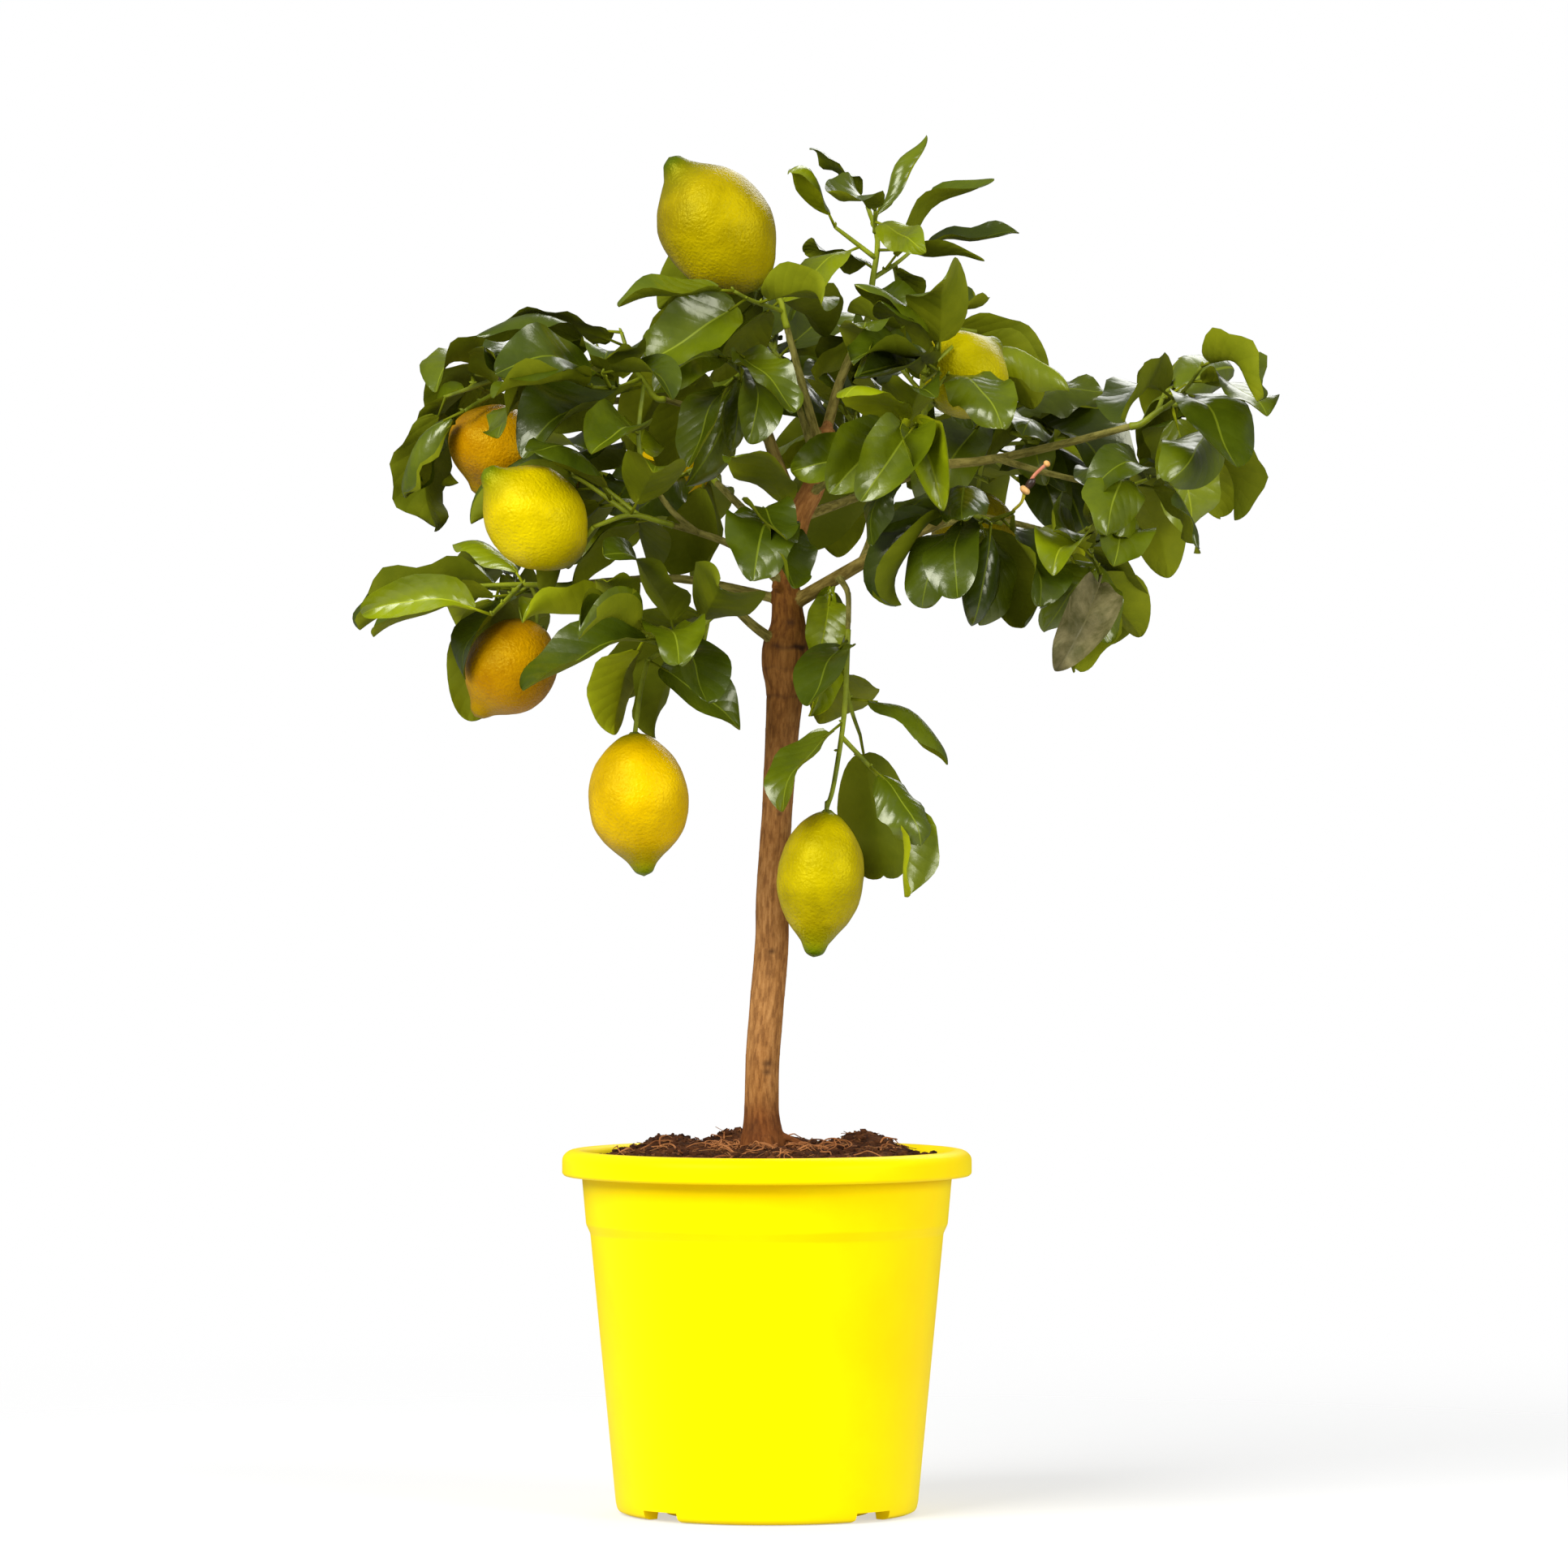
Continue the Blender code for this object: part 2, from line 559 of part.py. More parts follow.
def finished(obj, look):
    """Gives a joined solid its material and its smooth shading."""
    obj.data.materials.clear()
    obj.data.materials.append(look)
    obj.data.shade_smooth()
    obj.data.set_sharp_from_angle(angle=math.radians(40))
    return obj


def pot_profile():
    """The pot's section as (radius, height), down its outer side from the middle of its floor."""
    inner = [(0, FLOOR), (82.4, FLOOR), (85.6, 11.5), (100.4, 163.5), (102.9, 168.5), (106.0, 209.6), (108.2, 212.0)]
    rim = [(111.5, RIM_TOP), (116.2, 211.9), (119.2, 210.0), (RIM_RADIUS, 207.8), (RIM_RADIUS, 200.2),
           (118.4, 197.2), (116.6, 206.5), (114.0, 208.9), (109.6, 207.5), (108.4, 196.5)]
    outer = [(106.0, 169.0), (103.5, 163.5), (88.6, 6.0), (87.6, 2.0),
             (FOOT_OUTER, 0.0), (77.5, 0.0), (76.5, 5.0), (61.0, 5.0), (59.5, 0.0), (0, 0)]
    return [(r * MM, z * MM) for r, z in inner + rim + outer]


def turned_object(name, profile, sides, where, look):
    """A profile in the XZ plane turned about Z by a Screw modifier."""
    bm = bmesh.new()
    line = [bm.verts.new((r, 0, z)) for r, z in profile]
    for pair in zip(line, line[1:]):
        bm.edges.new(pair)
    mesh = bpy.data.meshes.new(name)
    bm.to_mesh(mesh)
    bm.free()
    obj = mesh_object(name, mesh, where, look)
    screw = obj.modifiers.new("Turned", "SCREW")
    screw.steps = screw.render_steps = sides
    screw.use_merge_vertices = True
    screw.merge_threshold = 1e-5
    screw.use_smooth_shade = True
    return obj


def make_pot(where, cutters, look):
    pot = turned_object("pot", pot_profile(), POT_SIDES, where, look)
    for index in range(4):
        angle = math.radians(45 + 90 * index)
        bm = bmesh.new()
        bmesh.ops.create_cube(bm, size=1.0)
        bmesh.ops.scale(bm, vec=(0.028, NOTCH_WIDTH * MM, 2 * NOTCH_HEIGHT * MM), verts=bm.verts)
        notch = mesh_object(f"notch cutter {index}", mesh_from(bm, "notch cutter"), cutters)
        notch.location = (0.088 * math.cos(angle), 0.088 * math.sin(angle), 0)
        notch.rotation_euler = (0, 0, angle)
        bm = bmesh.new()
        bmesh.ops.create_cone(bm, cap_ends=True, segments=10, radius1=0.005, radius2=0.005, depth=0.02)
        hole = mesh_object(f"drain cutter {index}", mesh_from(bm, "drain cutter"), cutters)
        hole.location = (0.0685 * math.sin(angle + 0.78), 0.0685 * math.cos(angle + 0.78), 0.006)
    for cutter in cutters.objects:
        cutter.hide_render = True
        cutter.display_type = "WIRE"
    cut = pot.modifiers.new("Notches and drain holes", "BOOLEAN")
    cut.operation = "DIFFERENCE"
    cut.operand_type = "COLLECTION"
    cut.collection = cutters
    cut.solver = "EXACT"
    return pot


def soil_level(x, y):
    """The height of the compost, in mm, at a place in mm."""
    from_axis = math.hypot(x, y)
    out = max(0.0, from_axis - SOIL_LANDING) / (102.6 - SOIL_LANDING)
    level = SOIL_MIDDLE + (SOIL_EDGE - SOIL_MIDDLE) * out
    fade = min(1.0, max(0.0, from_axis - SOIL_LANDING) / 6) * min(1.0, (102.6 - from_axis) / 12)
    for at_x, at_y, height, width in LUMPS:
        level += fade * height * math.exp(-((x - at_x) ** 2 + (y - at_y) ** 2) / (2 * width * width))
    return level


def make_soil(where, look):
    """Compost: a turned body whose top is raised into lumps."""
    profile = [(0, SOIL_MIDDLE), *((r, SOIL_MIDDLE) for r in SOIL_RINGS), (104.4, SOIL_EDGE - 3),
               (101.9, 168.8), (99.6, 163.6), (84.8, 12.5), (81.6, 8.6), (0, 8.6)]
    bm = bmesh.new()
    line = [bm.verts.new((r * MM, 0, z * MM)) for r, z in profile]
    edges = [bm.edges.new(pair) for pair in zip(line, line[1:])]
    bmesh.ops.spin(bm, geom=line + edges, cent=(0, 0, 0), axis=(0, 0, 1), angle=2 * math.pi, steps=POT_SIDES)
    bmesh.ops.remove_doubles(bm, verts=bm.verts, dist=1e-6)
    for vert in bm.verts:
        if abs(vert.co.z - SOIL_MIDDLE * MM) < 1e-6 and vert.co.xy.length > SOIL_LANDING * MM + 1e-4:
            vert.co.z = soil_level(vert.co.x / MM, vert.co.y / MM) * MM
    bmesh.ops.triangulate(bm, faces=bm.faces)
    return finished(mesh_object("soil", mesh_from(bm, "soil"), where), look)


def to_below(trunk):
    """The trunk's limb carried a little below the compost, where it is cut."""
    return Limb(np.vstack([[trunk.path[0][0], 0, 0.204], trunk.path]), np.concatenate([[0.0142], trunk.radii]))


def make_trunk(limb, where, look):
    """The trunk with the roots that show and one pruned stub, cut flat where it meets the compost."""
    curves = [limb_curve("trunk", to_below(limb), TRUNK_SIDES)]
    for tip, radius in ROOTS:
        path = smooth_path([(-0.0025, 0, 0.226), np.array([tip[0] * 0.55, tip[1] * 0.55, 216.5]) * MM,
                            np.array(tip) * MM], 2)
        curves.append(limb_curve("root", Limb(path, np.linspace(radius, radius * 0.45, len(path)) * MM), 6))
    spot, _ = on_path(limb.path, 0.765)
    stub = Limb(np.array([spot, spot + np.array([-0.003, -0.010, 0.003]), spot + np.array([-0.004, -0.0125, 0.004])]),
                np.array([2.9, 2.6, 2.5]) * MM)
    curves.append(limb_curve("stub", stub, 6))
    body, *pieces = meshes_of(curves)
    trunk = joined(mesh_object("trunk", body, where), pieces)
    bm = bmesh.new()
    bmesh.ops.create_cube(bm, size=0.2)
    bmesh.ops.translate(bm, vec=(0, 0, TRUNK[0][1] * MM - 0.1), verts=bm.verts)
    return finished(joined(trunk, [mesh_from(bm, "ground")], "DIFFERENCE"), look)


def make_boughs(limbs, where, look):
    """Each bough, cut clear of the trunk and of every bough before it."""
    names = list(limbs)
    for index, name in enumerate(names[1:], start=1):
        low = limbs[name].path.min(0) - 0.02
        high = limbs[name].path.max(0) + 0.02
        near = [other for other in names[:index]
                if ((limbs[other].path > low) & (limbs[other].path < high)).all(1).any()
                or other == BOUGHS[name][0]]
        curves = [limb_curve(name, limbs[name], BOUGH_SIDES)]
        curves += [limb_curve(other, limbs[other], BOUGH_SIDES, CUT_CLEAR) for other in near if other != "trunk"]
        if "trunk" in near:
            curves.append(limb_curve("trunk", to_below(limbs["trunk"]), TRUNK_SIDES, CUT_CLEAR))
        body, *cut_by = meshes_of(curves)
        finished(joined(mesh_object("bough_" + name, body, where), cut_by, "DIFFERENCE"), look)


def main():
    clear_scene()
    tree = collection("Potted lemon tree")
    cutters = collection("Cutters")
    yellow = material("Yellow plastic", (0.9, 0.68, 0.0), 0.35)
    earth = material("Compost", (0.045, 0.025, 0.012), 0.95)
    bark = material("Bark", (0.16, 0.085, 0.04), 0.85)
    green = material("Leaves", (0.05, 0.12, 0.015), 0.4)
    make_soil(tree, earth)
    limbs, masses = grow_tree()
    make_trunk(limbs["trunk"], tree, bark)
    make_boughs(limbs, tree, bark)
    for name, (twigs, leaves, fruit) in masses.items():
        stem, *pieces = meshes_of([limb_curve("twig", twig, 4) for twig in twigs])
        pieces += [leaf_mesh("leaf", leaf) for leaf in leaves]
        if fruit:
            pieces.append(lemon_mesh("lemon", fruit))
        finished(joined(mesh_object("foliage_" + name, stem, tree), pieces, solver="MANIFOLD"), green)
    make_pot(tree, cutters, yellow)


main()
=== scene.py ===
# %% [markdown]
# # A potted lemon tree
# The measured solids of this tree are plain: its limbs have six or eight sides and its leaves few faces.
# This lesson grows the same tree again by the same rule, with bark, glossy folded leaves, pored lemons and
# crumbly compost, and puts it in front of a camera in soft studio light.

# %% Start from the measured solids
import json
import math
import random
from collections import namedtuple

import bmesh
import bpy
import numpy as np
from mathutils import Matrix, Vector, noise

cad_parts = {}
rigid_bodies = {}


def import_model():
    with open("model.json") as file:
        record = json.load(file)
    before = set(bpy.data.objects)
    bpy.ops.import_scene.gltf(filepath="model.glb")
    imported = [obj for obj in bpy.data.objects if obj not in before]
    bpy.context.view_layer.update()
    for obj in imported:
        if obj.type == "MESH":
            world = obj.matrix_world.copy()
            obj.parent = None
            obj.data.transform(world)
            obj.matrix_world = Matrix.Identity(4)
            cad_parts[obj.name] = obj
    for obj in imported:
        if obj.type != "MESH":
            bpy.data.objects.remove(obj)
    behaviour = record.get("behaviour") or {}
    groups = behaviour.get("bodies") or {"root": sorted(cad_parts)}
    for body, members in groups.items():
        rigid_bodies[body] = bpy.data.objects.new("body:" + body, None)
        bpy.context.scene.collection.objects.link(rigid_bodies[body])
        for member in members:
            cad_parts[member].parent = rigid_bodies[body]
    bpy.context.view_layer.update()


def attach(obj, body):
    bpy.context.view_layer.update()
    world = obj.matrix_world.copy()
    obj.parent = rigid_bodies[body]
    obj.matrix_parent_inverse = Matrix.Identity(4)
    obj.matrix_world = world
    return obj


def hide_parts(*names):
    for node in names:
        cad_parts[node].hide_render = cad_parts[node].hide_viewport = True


for obj in list(bpy.data.objects):
    bpy.data.objects.remove(obj, do_unlink=True)
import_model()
MM = 0.001

# %% [markdown]
# ## The camera
# The photograph was taken from the side, level with the foot of the crown, from far enough away that the
# pot shows almost no top. A long lens at 4.6 m does the same. The frame is square and 0.92 m wide there.

# %% Camera
CAMERA_PLACE = (0.010, -4.6, 0.4265)
FRAME_WIDTH = 0.9187
lens = bpy.data.cameras.new("long lens")
lens.sensor_width = 36
lens.lens = 36 * -CAMERA_PLACE[1] / FRAME_WIDTH
camera = bpy.data.objects.new("camera", lens)
camera.location = CAMERA_PLACE
camera.rotation_euler = (math.radians(90), 0, 0)
bpy.context.scene.collection.objects.link(camera)
bpy.context.scene.camera = camera
print("lens", round(lens.lens, 1), "mm")

# %% [markdown]
# ## Light and floor
# A product photograph on white has one big soft light above and to the left, a weaker one to the right
# and a white room round both. The room's light is a plain white world. What the camera sees behind the
# tree is brighter than what lights it, which keeps some depth in the leaves. What glossy leaves mirror is
# darker still, as a studio's dark corners would be, so the soft boxes stand out in them. A third, weak
# light is behind. The floor is a pale disc that lets some of the white through and fades into it towards
# its edge, so no horizon shows.


# %% Node helper
def add_node(look, kind, settings=None, inputs=None):
    """A new node in a material or a world, with its settings and the values of its sockets."""
    node = look.node_tree.nodes.new(kind)
    for name, value in (settings or {}).items():
        setattr(node, name, value)
    for name, value in (inputs or {}).items():
        node.inputs[name].default_value = value
    return node


def wire(look, start, end):
    """Joins an output socket to an input socket."""
    look.node_tree.links.new(start, end)


# %% White room
scene = bpy.context.scene
scene.view_settings.view_transform = "Standard"
room_light = bpy.data.worlds.new("white room")
room_light.use_nodes = True
scene.world = room_light
backdrop = room_light.node_tree.nodes["Background"]
backdrop.inputs["Color"].default_value = (1, 1, 1, 1)
rays = add_node(room_light, "ShaderNodeLightPath")
seen = add_node(room_light, "ShaderNodeMapRange", inputs={"To Min": 0.46, "To Max": 1.0})
mirrored = add_node(room_light, "ShaderNodeMapRange", inputs={"To Min": 1.0, "To Max": 0.3})
strength = add_node(room_light, "ShaderNodeMath", {"operation": "MULTIPLY"})
wire(room_light, rays.outputs["Is Camera Ray"], seen.inputs["Value"])
wire(room_light, rays.outputs["Is Glossy Ray"], mirrored.inputs["Value"])
wire(room_light, seen.outputs["Result"], strength.inputs[0])
wire(room_light, mirrored.outputs["Result"], strength.inputs[1])
wire(room_light, strength.outputs["Value"], backdrop.inputs["Strength"])


# %% Soft lights
def soft_light(name, place, aim, size, power):
    """A square soft box that looks at a point."""
    light = bpy.data.lights.new(name, "AREA")
    light.size = size
    light.energy = power
    box = bpy.data.objects.new(name, light)
    box.location = place
    box.rotation_euler = (Vector(aim) - Vector(place)).to_track_quat("-Z", "Y").to_euler()
    scene.collection.objects.link(box)


soft_light("key light", (-1.9, -2.3, 2.3), (0, 0, 0.45), 2.2, 160)
soft_light("fill light", (2.4, -2.0, 1.3), (0, 0, 0.45), 1.6, 56)
soft_light("back light", (0.8, 2.6, 2.2), (0, 0, 0.5), 1.4, 20)
print("lights:", [light.name for light in bpy.data.lights])

# %% Floor
FLOOR_RADIUS = 1.6
FLOOR_DROP = 0.0004     # just under the pot, so the two faces don't share a plane
floor_mesh = bpy.data.meshes.new("floor")
bm = bmesh.new()
bmesh.ops.create_circle(bm, cap_ends=True, segments=64, radius=FLOOR_RADIUS)
bm.to_mesh(floor_mesh)
bm.free()
floor = bpy.data.objects.new("floor", floor_mesh)
floor.location.z = -FLOOR_DROP
scene.collection.objects.link(floor)
pale = bpy.data.materials.new("pale floor")
pale.use_nodes = True
shader = pale.node_tree.nodes["Principled BSDF"]
shader.inputs["Base Color"].default_value = (0.86, 0.86, 0.86, 1)
shader.inputs["Roughness"].default_value = 0.9
shader.inputs["Specular IOR Level"].default_value = 0.0
place = add_node(pale, "ShaderNodeTexCoord")
out = add_node(pale, "ShaderNodeVectorMath", {"operation": "LENGTH"})
fade = add_node(pale, "ShaderNodeMapRange", {"interpolation_type": "SMOOTHSTEP"},
                {"From Min": 0.35, "From Max": FLOOR_RADIUS * 0.95, "To Min": 0.5, "To Max": 0.0})
clear = add_node(pale, "ShaderNodeBsdfTransparent")
blend = add_node(pale, "ShaderNodeMixShader")
wire(pale, place.outputs["Object"], out.inputs[0])
wire(pale, out.outputs["Value"], fade.inputs["Value"])
wire(pale, fade.outputs["Result"], blend.inputs["Fac"])
wire(pale, clear.outputs["BSDF"], blend.inputs[1])
wire(pale, shader.outputs["BSDF"], blend.inputs[2])
wire(pale, blend.outputs["Shader"], pale.node_tree.nodes["Material Output"].inputs["Surface"])
floor_mesh.materials.append(pale)
print("floor", FLOOR_RADIUS * 2, "m wide")

# %% [markdown]
# ## Finishes
# Every finish is a Principled BSDF. Its colour comes from a noise between two or three near tones, and a
# bump gives it its grain. Patterns sit on object coordinates, so they stay put on the piece, and those of
# the wood follow the limb: each point of the wood keeps a "grain" vector, its place round and along it.


# %% Finish helper
def finish(name, tones, scale, roughness, bump=None, stretch=(1, 1, 1), grain=None, coat=0.0, specular=0.5,
           shine=(1, 1, 1)):
    """A finish whose colour wanders between tones; bump is (scale, strength, distance in metres)."""
    look = bpy.data.materials.new(name)
    look.use_nodes = True
    surface = look.node_tree.nodes["Principled BSDF"]
    surface.inputs["Roughness"].default_value = roughness
    surface.inputs["Coat Weight"].default_value = coat
    surface.inputs["Coat Roughness"].default_value = 0.12
    surface.inputs["Specular IOR Level"].default_value = specular
    surface.inputs["Specular Tint"].default_value = (*shine, 1)
    surface.inputs["Base Color"].default_value = (*tones[0], 1)
    if grain:
        spot = add_node(look, "ShaderNodeAttribute", {"attribute_name": grain}).outputs["Vector"]
    else:
        spot = add_node(look, "ShaderNodeTexCoord").outputs["Object"]
    mapping = add_node(look, "ShaderNodeMapping", inputs={"Scale": stretch})
    wire(look, spot, mapping.inputs["Vector"])
    if len(tones) > 1:
        cloud = add_node(look, "ShaderNodeTexNoise", inputs={"Scale": scale, "Detail": 6, "Roughness": 0.6})
        ramp = add_node(look, "ShaderNodeValToRGB")
        steps = ramp.color_ramp.elements
        while len(steps) < len(tones):
            steps.new(0.5)
        for step, tone, at in zip(steps, tones, np.linspace(0.36, 0.64, len(tones))):
            step.position = float(at)
            step.color = (*tone, 1)
        wire(look, mapping.outputs["Vector"], cloud.inputs["Vector"])
        wire(look, cloud.outputs["Fac"], ramp.inputs["Fac"])
        wire(look, ramp.outputs["Color"], surface.inputs["Base Color"])
    if bump:
        pores = add_node(look, "ShaderNodeTexNoise", inputs={"Scale": bump[0], "Detail": 4})
        relief = add_node(look, "ShaderNodeBump", inputs={"Strength": bump[1], "Distance": bump[2]})
        wire(look, mapping.outputs["Vector"], pores.inputs["Vector"])
        wire(look, pores.outputs["Fac"], relief.inputs["Height"])
        wire(look, relief.outputs["Normal"], surface.inputs["Normal"])
    return look


# %% Piece helper
def piece(name, mesh, looks, replaced=()):
    """Puts a finished mesh in the scene as a piece that rides on the tree's one body."""
    made = bpy.data.objects.new(name, mesh)
    scene.collection.objects.link(made)
    for look in looks:
        mesh.materials.append(look)
    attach(made, "root")
    if replaced:
        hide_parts(*replaced)
    print(name, len(mesh.polygons), "faces")
    return made


def mesh_of(bm, name, smooth=True):
    """A mesh from a bmesh, with its faces smooth."""
    for face in bm.faces:
        face.smooth = smooth
    mesh = bpy.data.meshes.new(name)
    bm.to_mesh(mesh)
    bm.free()
    return mesh


# %% [markdown]
# ## The pot
# A moulded nursery pot: a straight tapering wall with a small step near the top, a thick rolled rim whose
# skirt hangs down outside, and a foot with four drain notches. It is round, so half of its section is
# drawn and spun. The corners of the section are rounded first by cutting each of them with a small arc.

# %% Pot section
POT_SECTION = [
    (0, 8, 0), (82.4, 8, 2), (85.6, 11.5, 1), (99.7, 158.5, 0.6), (102.9, 168.5, 2), (106.0, 209.6, 3),
    (109.6, 212.6, 2), (116.2, 212.0, 3), (120.0, 208.4, 3), (120.0, 198.6, 1.5), (118.4, 197.2, 0.6),
    (116.6, 206.5, 1.5), (114.0, 208.9, 1.5), (109.6, 207.5, 1.5), (108.4, 196.5, 0), (106.0, 169.0, 1),
    (103.5, 163.5, 1), (88.6, 6.0, 2), (87.4, 1.6, 1.5), (83.5, 0, 0.8), (77.5, 0, 0.5), (76.5, 5, 0.5),
    (61.0, 5, 0.5), (59.5, 0, 0.5), (0, 0, 0)]    # (radius, height, size of the corner's rounding) in mm


def rounded(section, steps=3):
    """The section with every corner that has a size replaced by a small curve."""
    points = np.array([p[:2] for p in section], float)
    line = [points[0]]
    for before, corner, after, (_, _, size) in zip(points, points[1:], points[2:], section[1:]):
        if size == 0:
            line.append(corner)
            continue
        reach = min(size, 0.45 * np.linalg.norm(corner - before), 0.45 * np.linalg.norm(after - corner))
        start = corner + (before - corner) / np.linalg.norm(before - corner) * reach
        end = corner + (after - corner) / np.linalg.norm(after - corner) * reach
        for t in np.linspace(0, 1, steps + 1):
            line.append(start * (1 - t) ** 2 + corner * 2 * t * (1 - t) + end * t * t)
    return np.array([*line, points[-1]]) * MM


# %% Spinning a section
def spun(section, steps):
    """A closed shape: (radius, height) points spun round the Z axis."""
    bm = bmesh.new()
    line = [bm.verts.new((r, 0, z)) for r, z in section]
    edges = [bm.edges.new(pair) for pair in zip(line, line[1:])]
    bmesh.ops.spin(bm, geom=line + edges, cent=(0, 0, 0), axis=(0, 0, 1), angle=2 * math.pi, steps=steps,
                   use_merge=True)
    bmesh.ops.remove_doubles(bm, verts=bm.verts, dist=1e-6)
    bmesh.ops.recalc_face_normals(bm, faces=bm.faces)
    return bm


# %% Drain notches
NOTCH_WIDTH = 0.027
NOTCH_HEIGHT = 0.0056


def foot_cutters():
    """Four boxes for the notches in the foot and four rods for the holes in the floor."""
    bm = bmesh.new()
    for index in range(4):
        angle = math.radians(45 + 90 * index)
        turn = Matrix.Rotation(angle, 4, "Z")
        shape = Matrix.Diagonal((0.028, NOTCH_WIDTH, 2 * NOTCH_HEIGHT, 1))
        bmesh.ops.create_cube(bm, size=1.0, matrix=turn @ Matrix.Translation((0.088, 0, 0)) @ shape)
        turn = Matrix.Rotation(angle + math.radians(45), 4, "Z")
        bmesh.ops.create_cone(bm, cap_ends=True, segments=24, radius1=0.005, radius2=0.005, depth=0.02,
                              matrix=turn @ Matrix.Translation((0.0685, 0, 0.006)))
    return mesh_of(bm, "foot cutters", False)


def cut(mesh, cutter_mesh):
    """The mesh with the cutter taken out of it by an applied Boolean."""
    body = bpy.data.objects.new("body", mesh)
    cutter = bpy.data.objects.new("cutter", cutter_mesh)
    scene.collection.objects.link(body)
    scene.collection.objects.link(cutter)
    boolean = body.modifiers.new("Cut", "BOOLEAN")
    boolean.operation = "DIFFERENCE"
    boolean.object = cutter
    graph = bpy.context.evaluated_depsgraph_get()
    made = bpy.data.meshes.new_from_object(body.evaluated_get(graph))
    for helper in (body, cutter):
        bpy.data.objects.remove(helper, do_unlink=True)
    return made


# %% Pot
POT_STEPS = 128
pot_mesh = cut(mesh_of(spun(rounded(POT_SECTION), POT_STEPS), "pot"), foot_cutters())
pot_mesh.set_sharp_from_angle(angle=math.radians(38))
yellow = finish("yellow plastic", [(1.0, 0.73, 0.0), (1.0, 0.79, 0.0)], 14, 0.42, (620, 0.12, 0.0002),
                specular=0.10, shine=(1.0, 0.95, 0.2))
piece("yellow_pot", pot_mesh, [yellow], ["pot"])

# %% [markdown]
# ## The compost
# Peaty compost is a dark rough bed with lumps, loose crumbs, tan fibres and chips of bark. The bed is a
# spun body whose top is pushed up and down by the lumps and a noise. The rest are small loose bits.

# %% Compost levels
SOIL_EDGE = 207.0
SOIL_MIDDLE = 213.0
SOIL_LANDING = 46.0
SOIL_RADIUS = 102.6
LUMPS = [(59, 34, 11, 13), (-17, 66, 10, 12), (-58, 40, 8, 15), (76, -30, 4, 14), (10, -74, 3, 16),
         (-66, -44, 4, 15), (22, 80, 6, 14)]


def soil_level(x, y):
    """The height of the compost at a place, in mm."""
    from_axis = math.hypot(x, y)
    out = max(0.0, from_axis - SOIL_LANDING) / (SOIL_RADIUS - SOIL_LANDING)
    level = SOIL_MIDDLE + (SOIL_EDGE - SOIL_MIDDLE) * out
    inward = max(0.0, min(1.0, (SOIL_RADIUS - from_axis) / 12))
    for at_x, at_y, height, width in LUMPS:
        level += inward * height * math.exp(-((x - at_x) ** 2 + (y - at_y) ** 2) / (2 * width * width))
    spot = Vector((x, y, 0)) * 0.055
    level += 2.2 * noise.fractal(spot, 0.9, 2.1, 5) * min(1.0, (from_axis - 8) / 12 if from_axis > 8 else 0)
    return level


# %% Compost bed
rings = np.linspace(0, SOIL_RADIUS, 52)
bed_section = [(r, SOIL_MIDDLE) for r in rings] + [
    (104.4, SOIL_EDGE - 3), (101.9, 168.8), (99.6, 163.6), (84.8, 12.5), (81.6, 8.6), (0, 8.6)]
bm = spun(np.array(bed_section) * MM, 176)
for vert in bm.verts:
    if vert.co.z > (SOIL_MIDDLE - 0.1) * MM:
        vert.co.z = soil_level(vert.co.x / MM, vert.co.y / MM) * MM
earth = finish("compost", [(0.018, 0.006, 0.002), (0.058, 0.020, 0.006), (0.13, 0.048, 0.014)], 160, 0.95,
               (420, 0.9, 0.0012), specular=0.1)
piece("compost", mesh_of(bm, "compost"), [earth], ["soil"])


# %% Loose bits
def bits(count, make, seed, nearest=15, furthest=100):
    """Small shapes strewn over the compost by a seeded rule, in one bmesh."""
    rng = random.Random(seed)
    bm = bmesh.new()
    for _ in range(count):
        out = math.sqrt(rng.uniform(nearest**2, furthest**2))
        turn = rng.uniform(0, 2 * math.pi)
        x, y = out * math.cos(turn), out * math.sin(turn)
        spot = Vector((x, y, soil_level(x, y))) * MM
        tilt = Matrix.Rotation(rng.uniform(0, 6.3), 4, "Z") @ Matrix.Rotation(rng.gauss(0, 0.25), 4, "X")
        make(bm, rng, Matrix.Translation(spot) @ tilt)
    return bm


def crumb(bm, rng, matrix):
    """A loose lump, most of them small."""
    size = 0.0009 + 0.0026 * rng.random() ** 3
    shape = Matrix.Diagonal((size, size * rng.uniform(0.6, 1.0), size * rng.uniform(0.5, 0.8), 1))
    grown = bmesh.ops.create_icosphere(bm, subdivisions=1, radius=1, matrix=matrix @ shape)
    for vert in grown["verts"]:
        vert.co += Vector([rng.uniform(-0.2, 0.2) * size for _ in range(3)])


def fibre(bm, rng, matrix):
    """A thin fibre, bent to one side."""
    length = rng.uniform(0.005, 0.016)
    shape = Matrix.Diagonal((0.00035, length, 0.00035, 1))
    grown = bmesh.ops.create_cube(bm, size=1, matrix=matrix @ Matrix.Translation((0, 0, 0.0008)) @ shape)
    edges = list({edge for vert in grown["verts"] for edge in vert.link_edges
                  if edge.calc_length() > length * 0.9})
    bmesh.ops.subdivide_edges(bm, edges=edges, cuts=2)
    bend = rng.uniform(-0.25, 0.25)
    inverse = matrix.inverted()
    for vert in {v for edge in edges if edge.is_valid for v in edge.verts}:
        along = (inverse @ vert.co).y
        vert.co += matrix.to_3x3() @ Vector((bend * along * along / length, 0, 0))


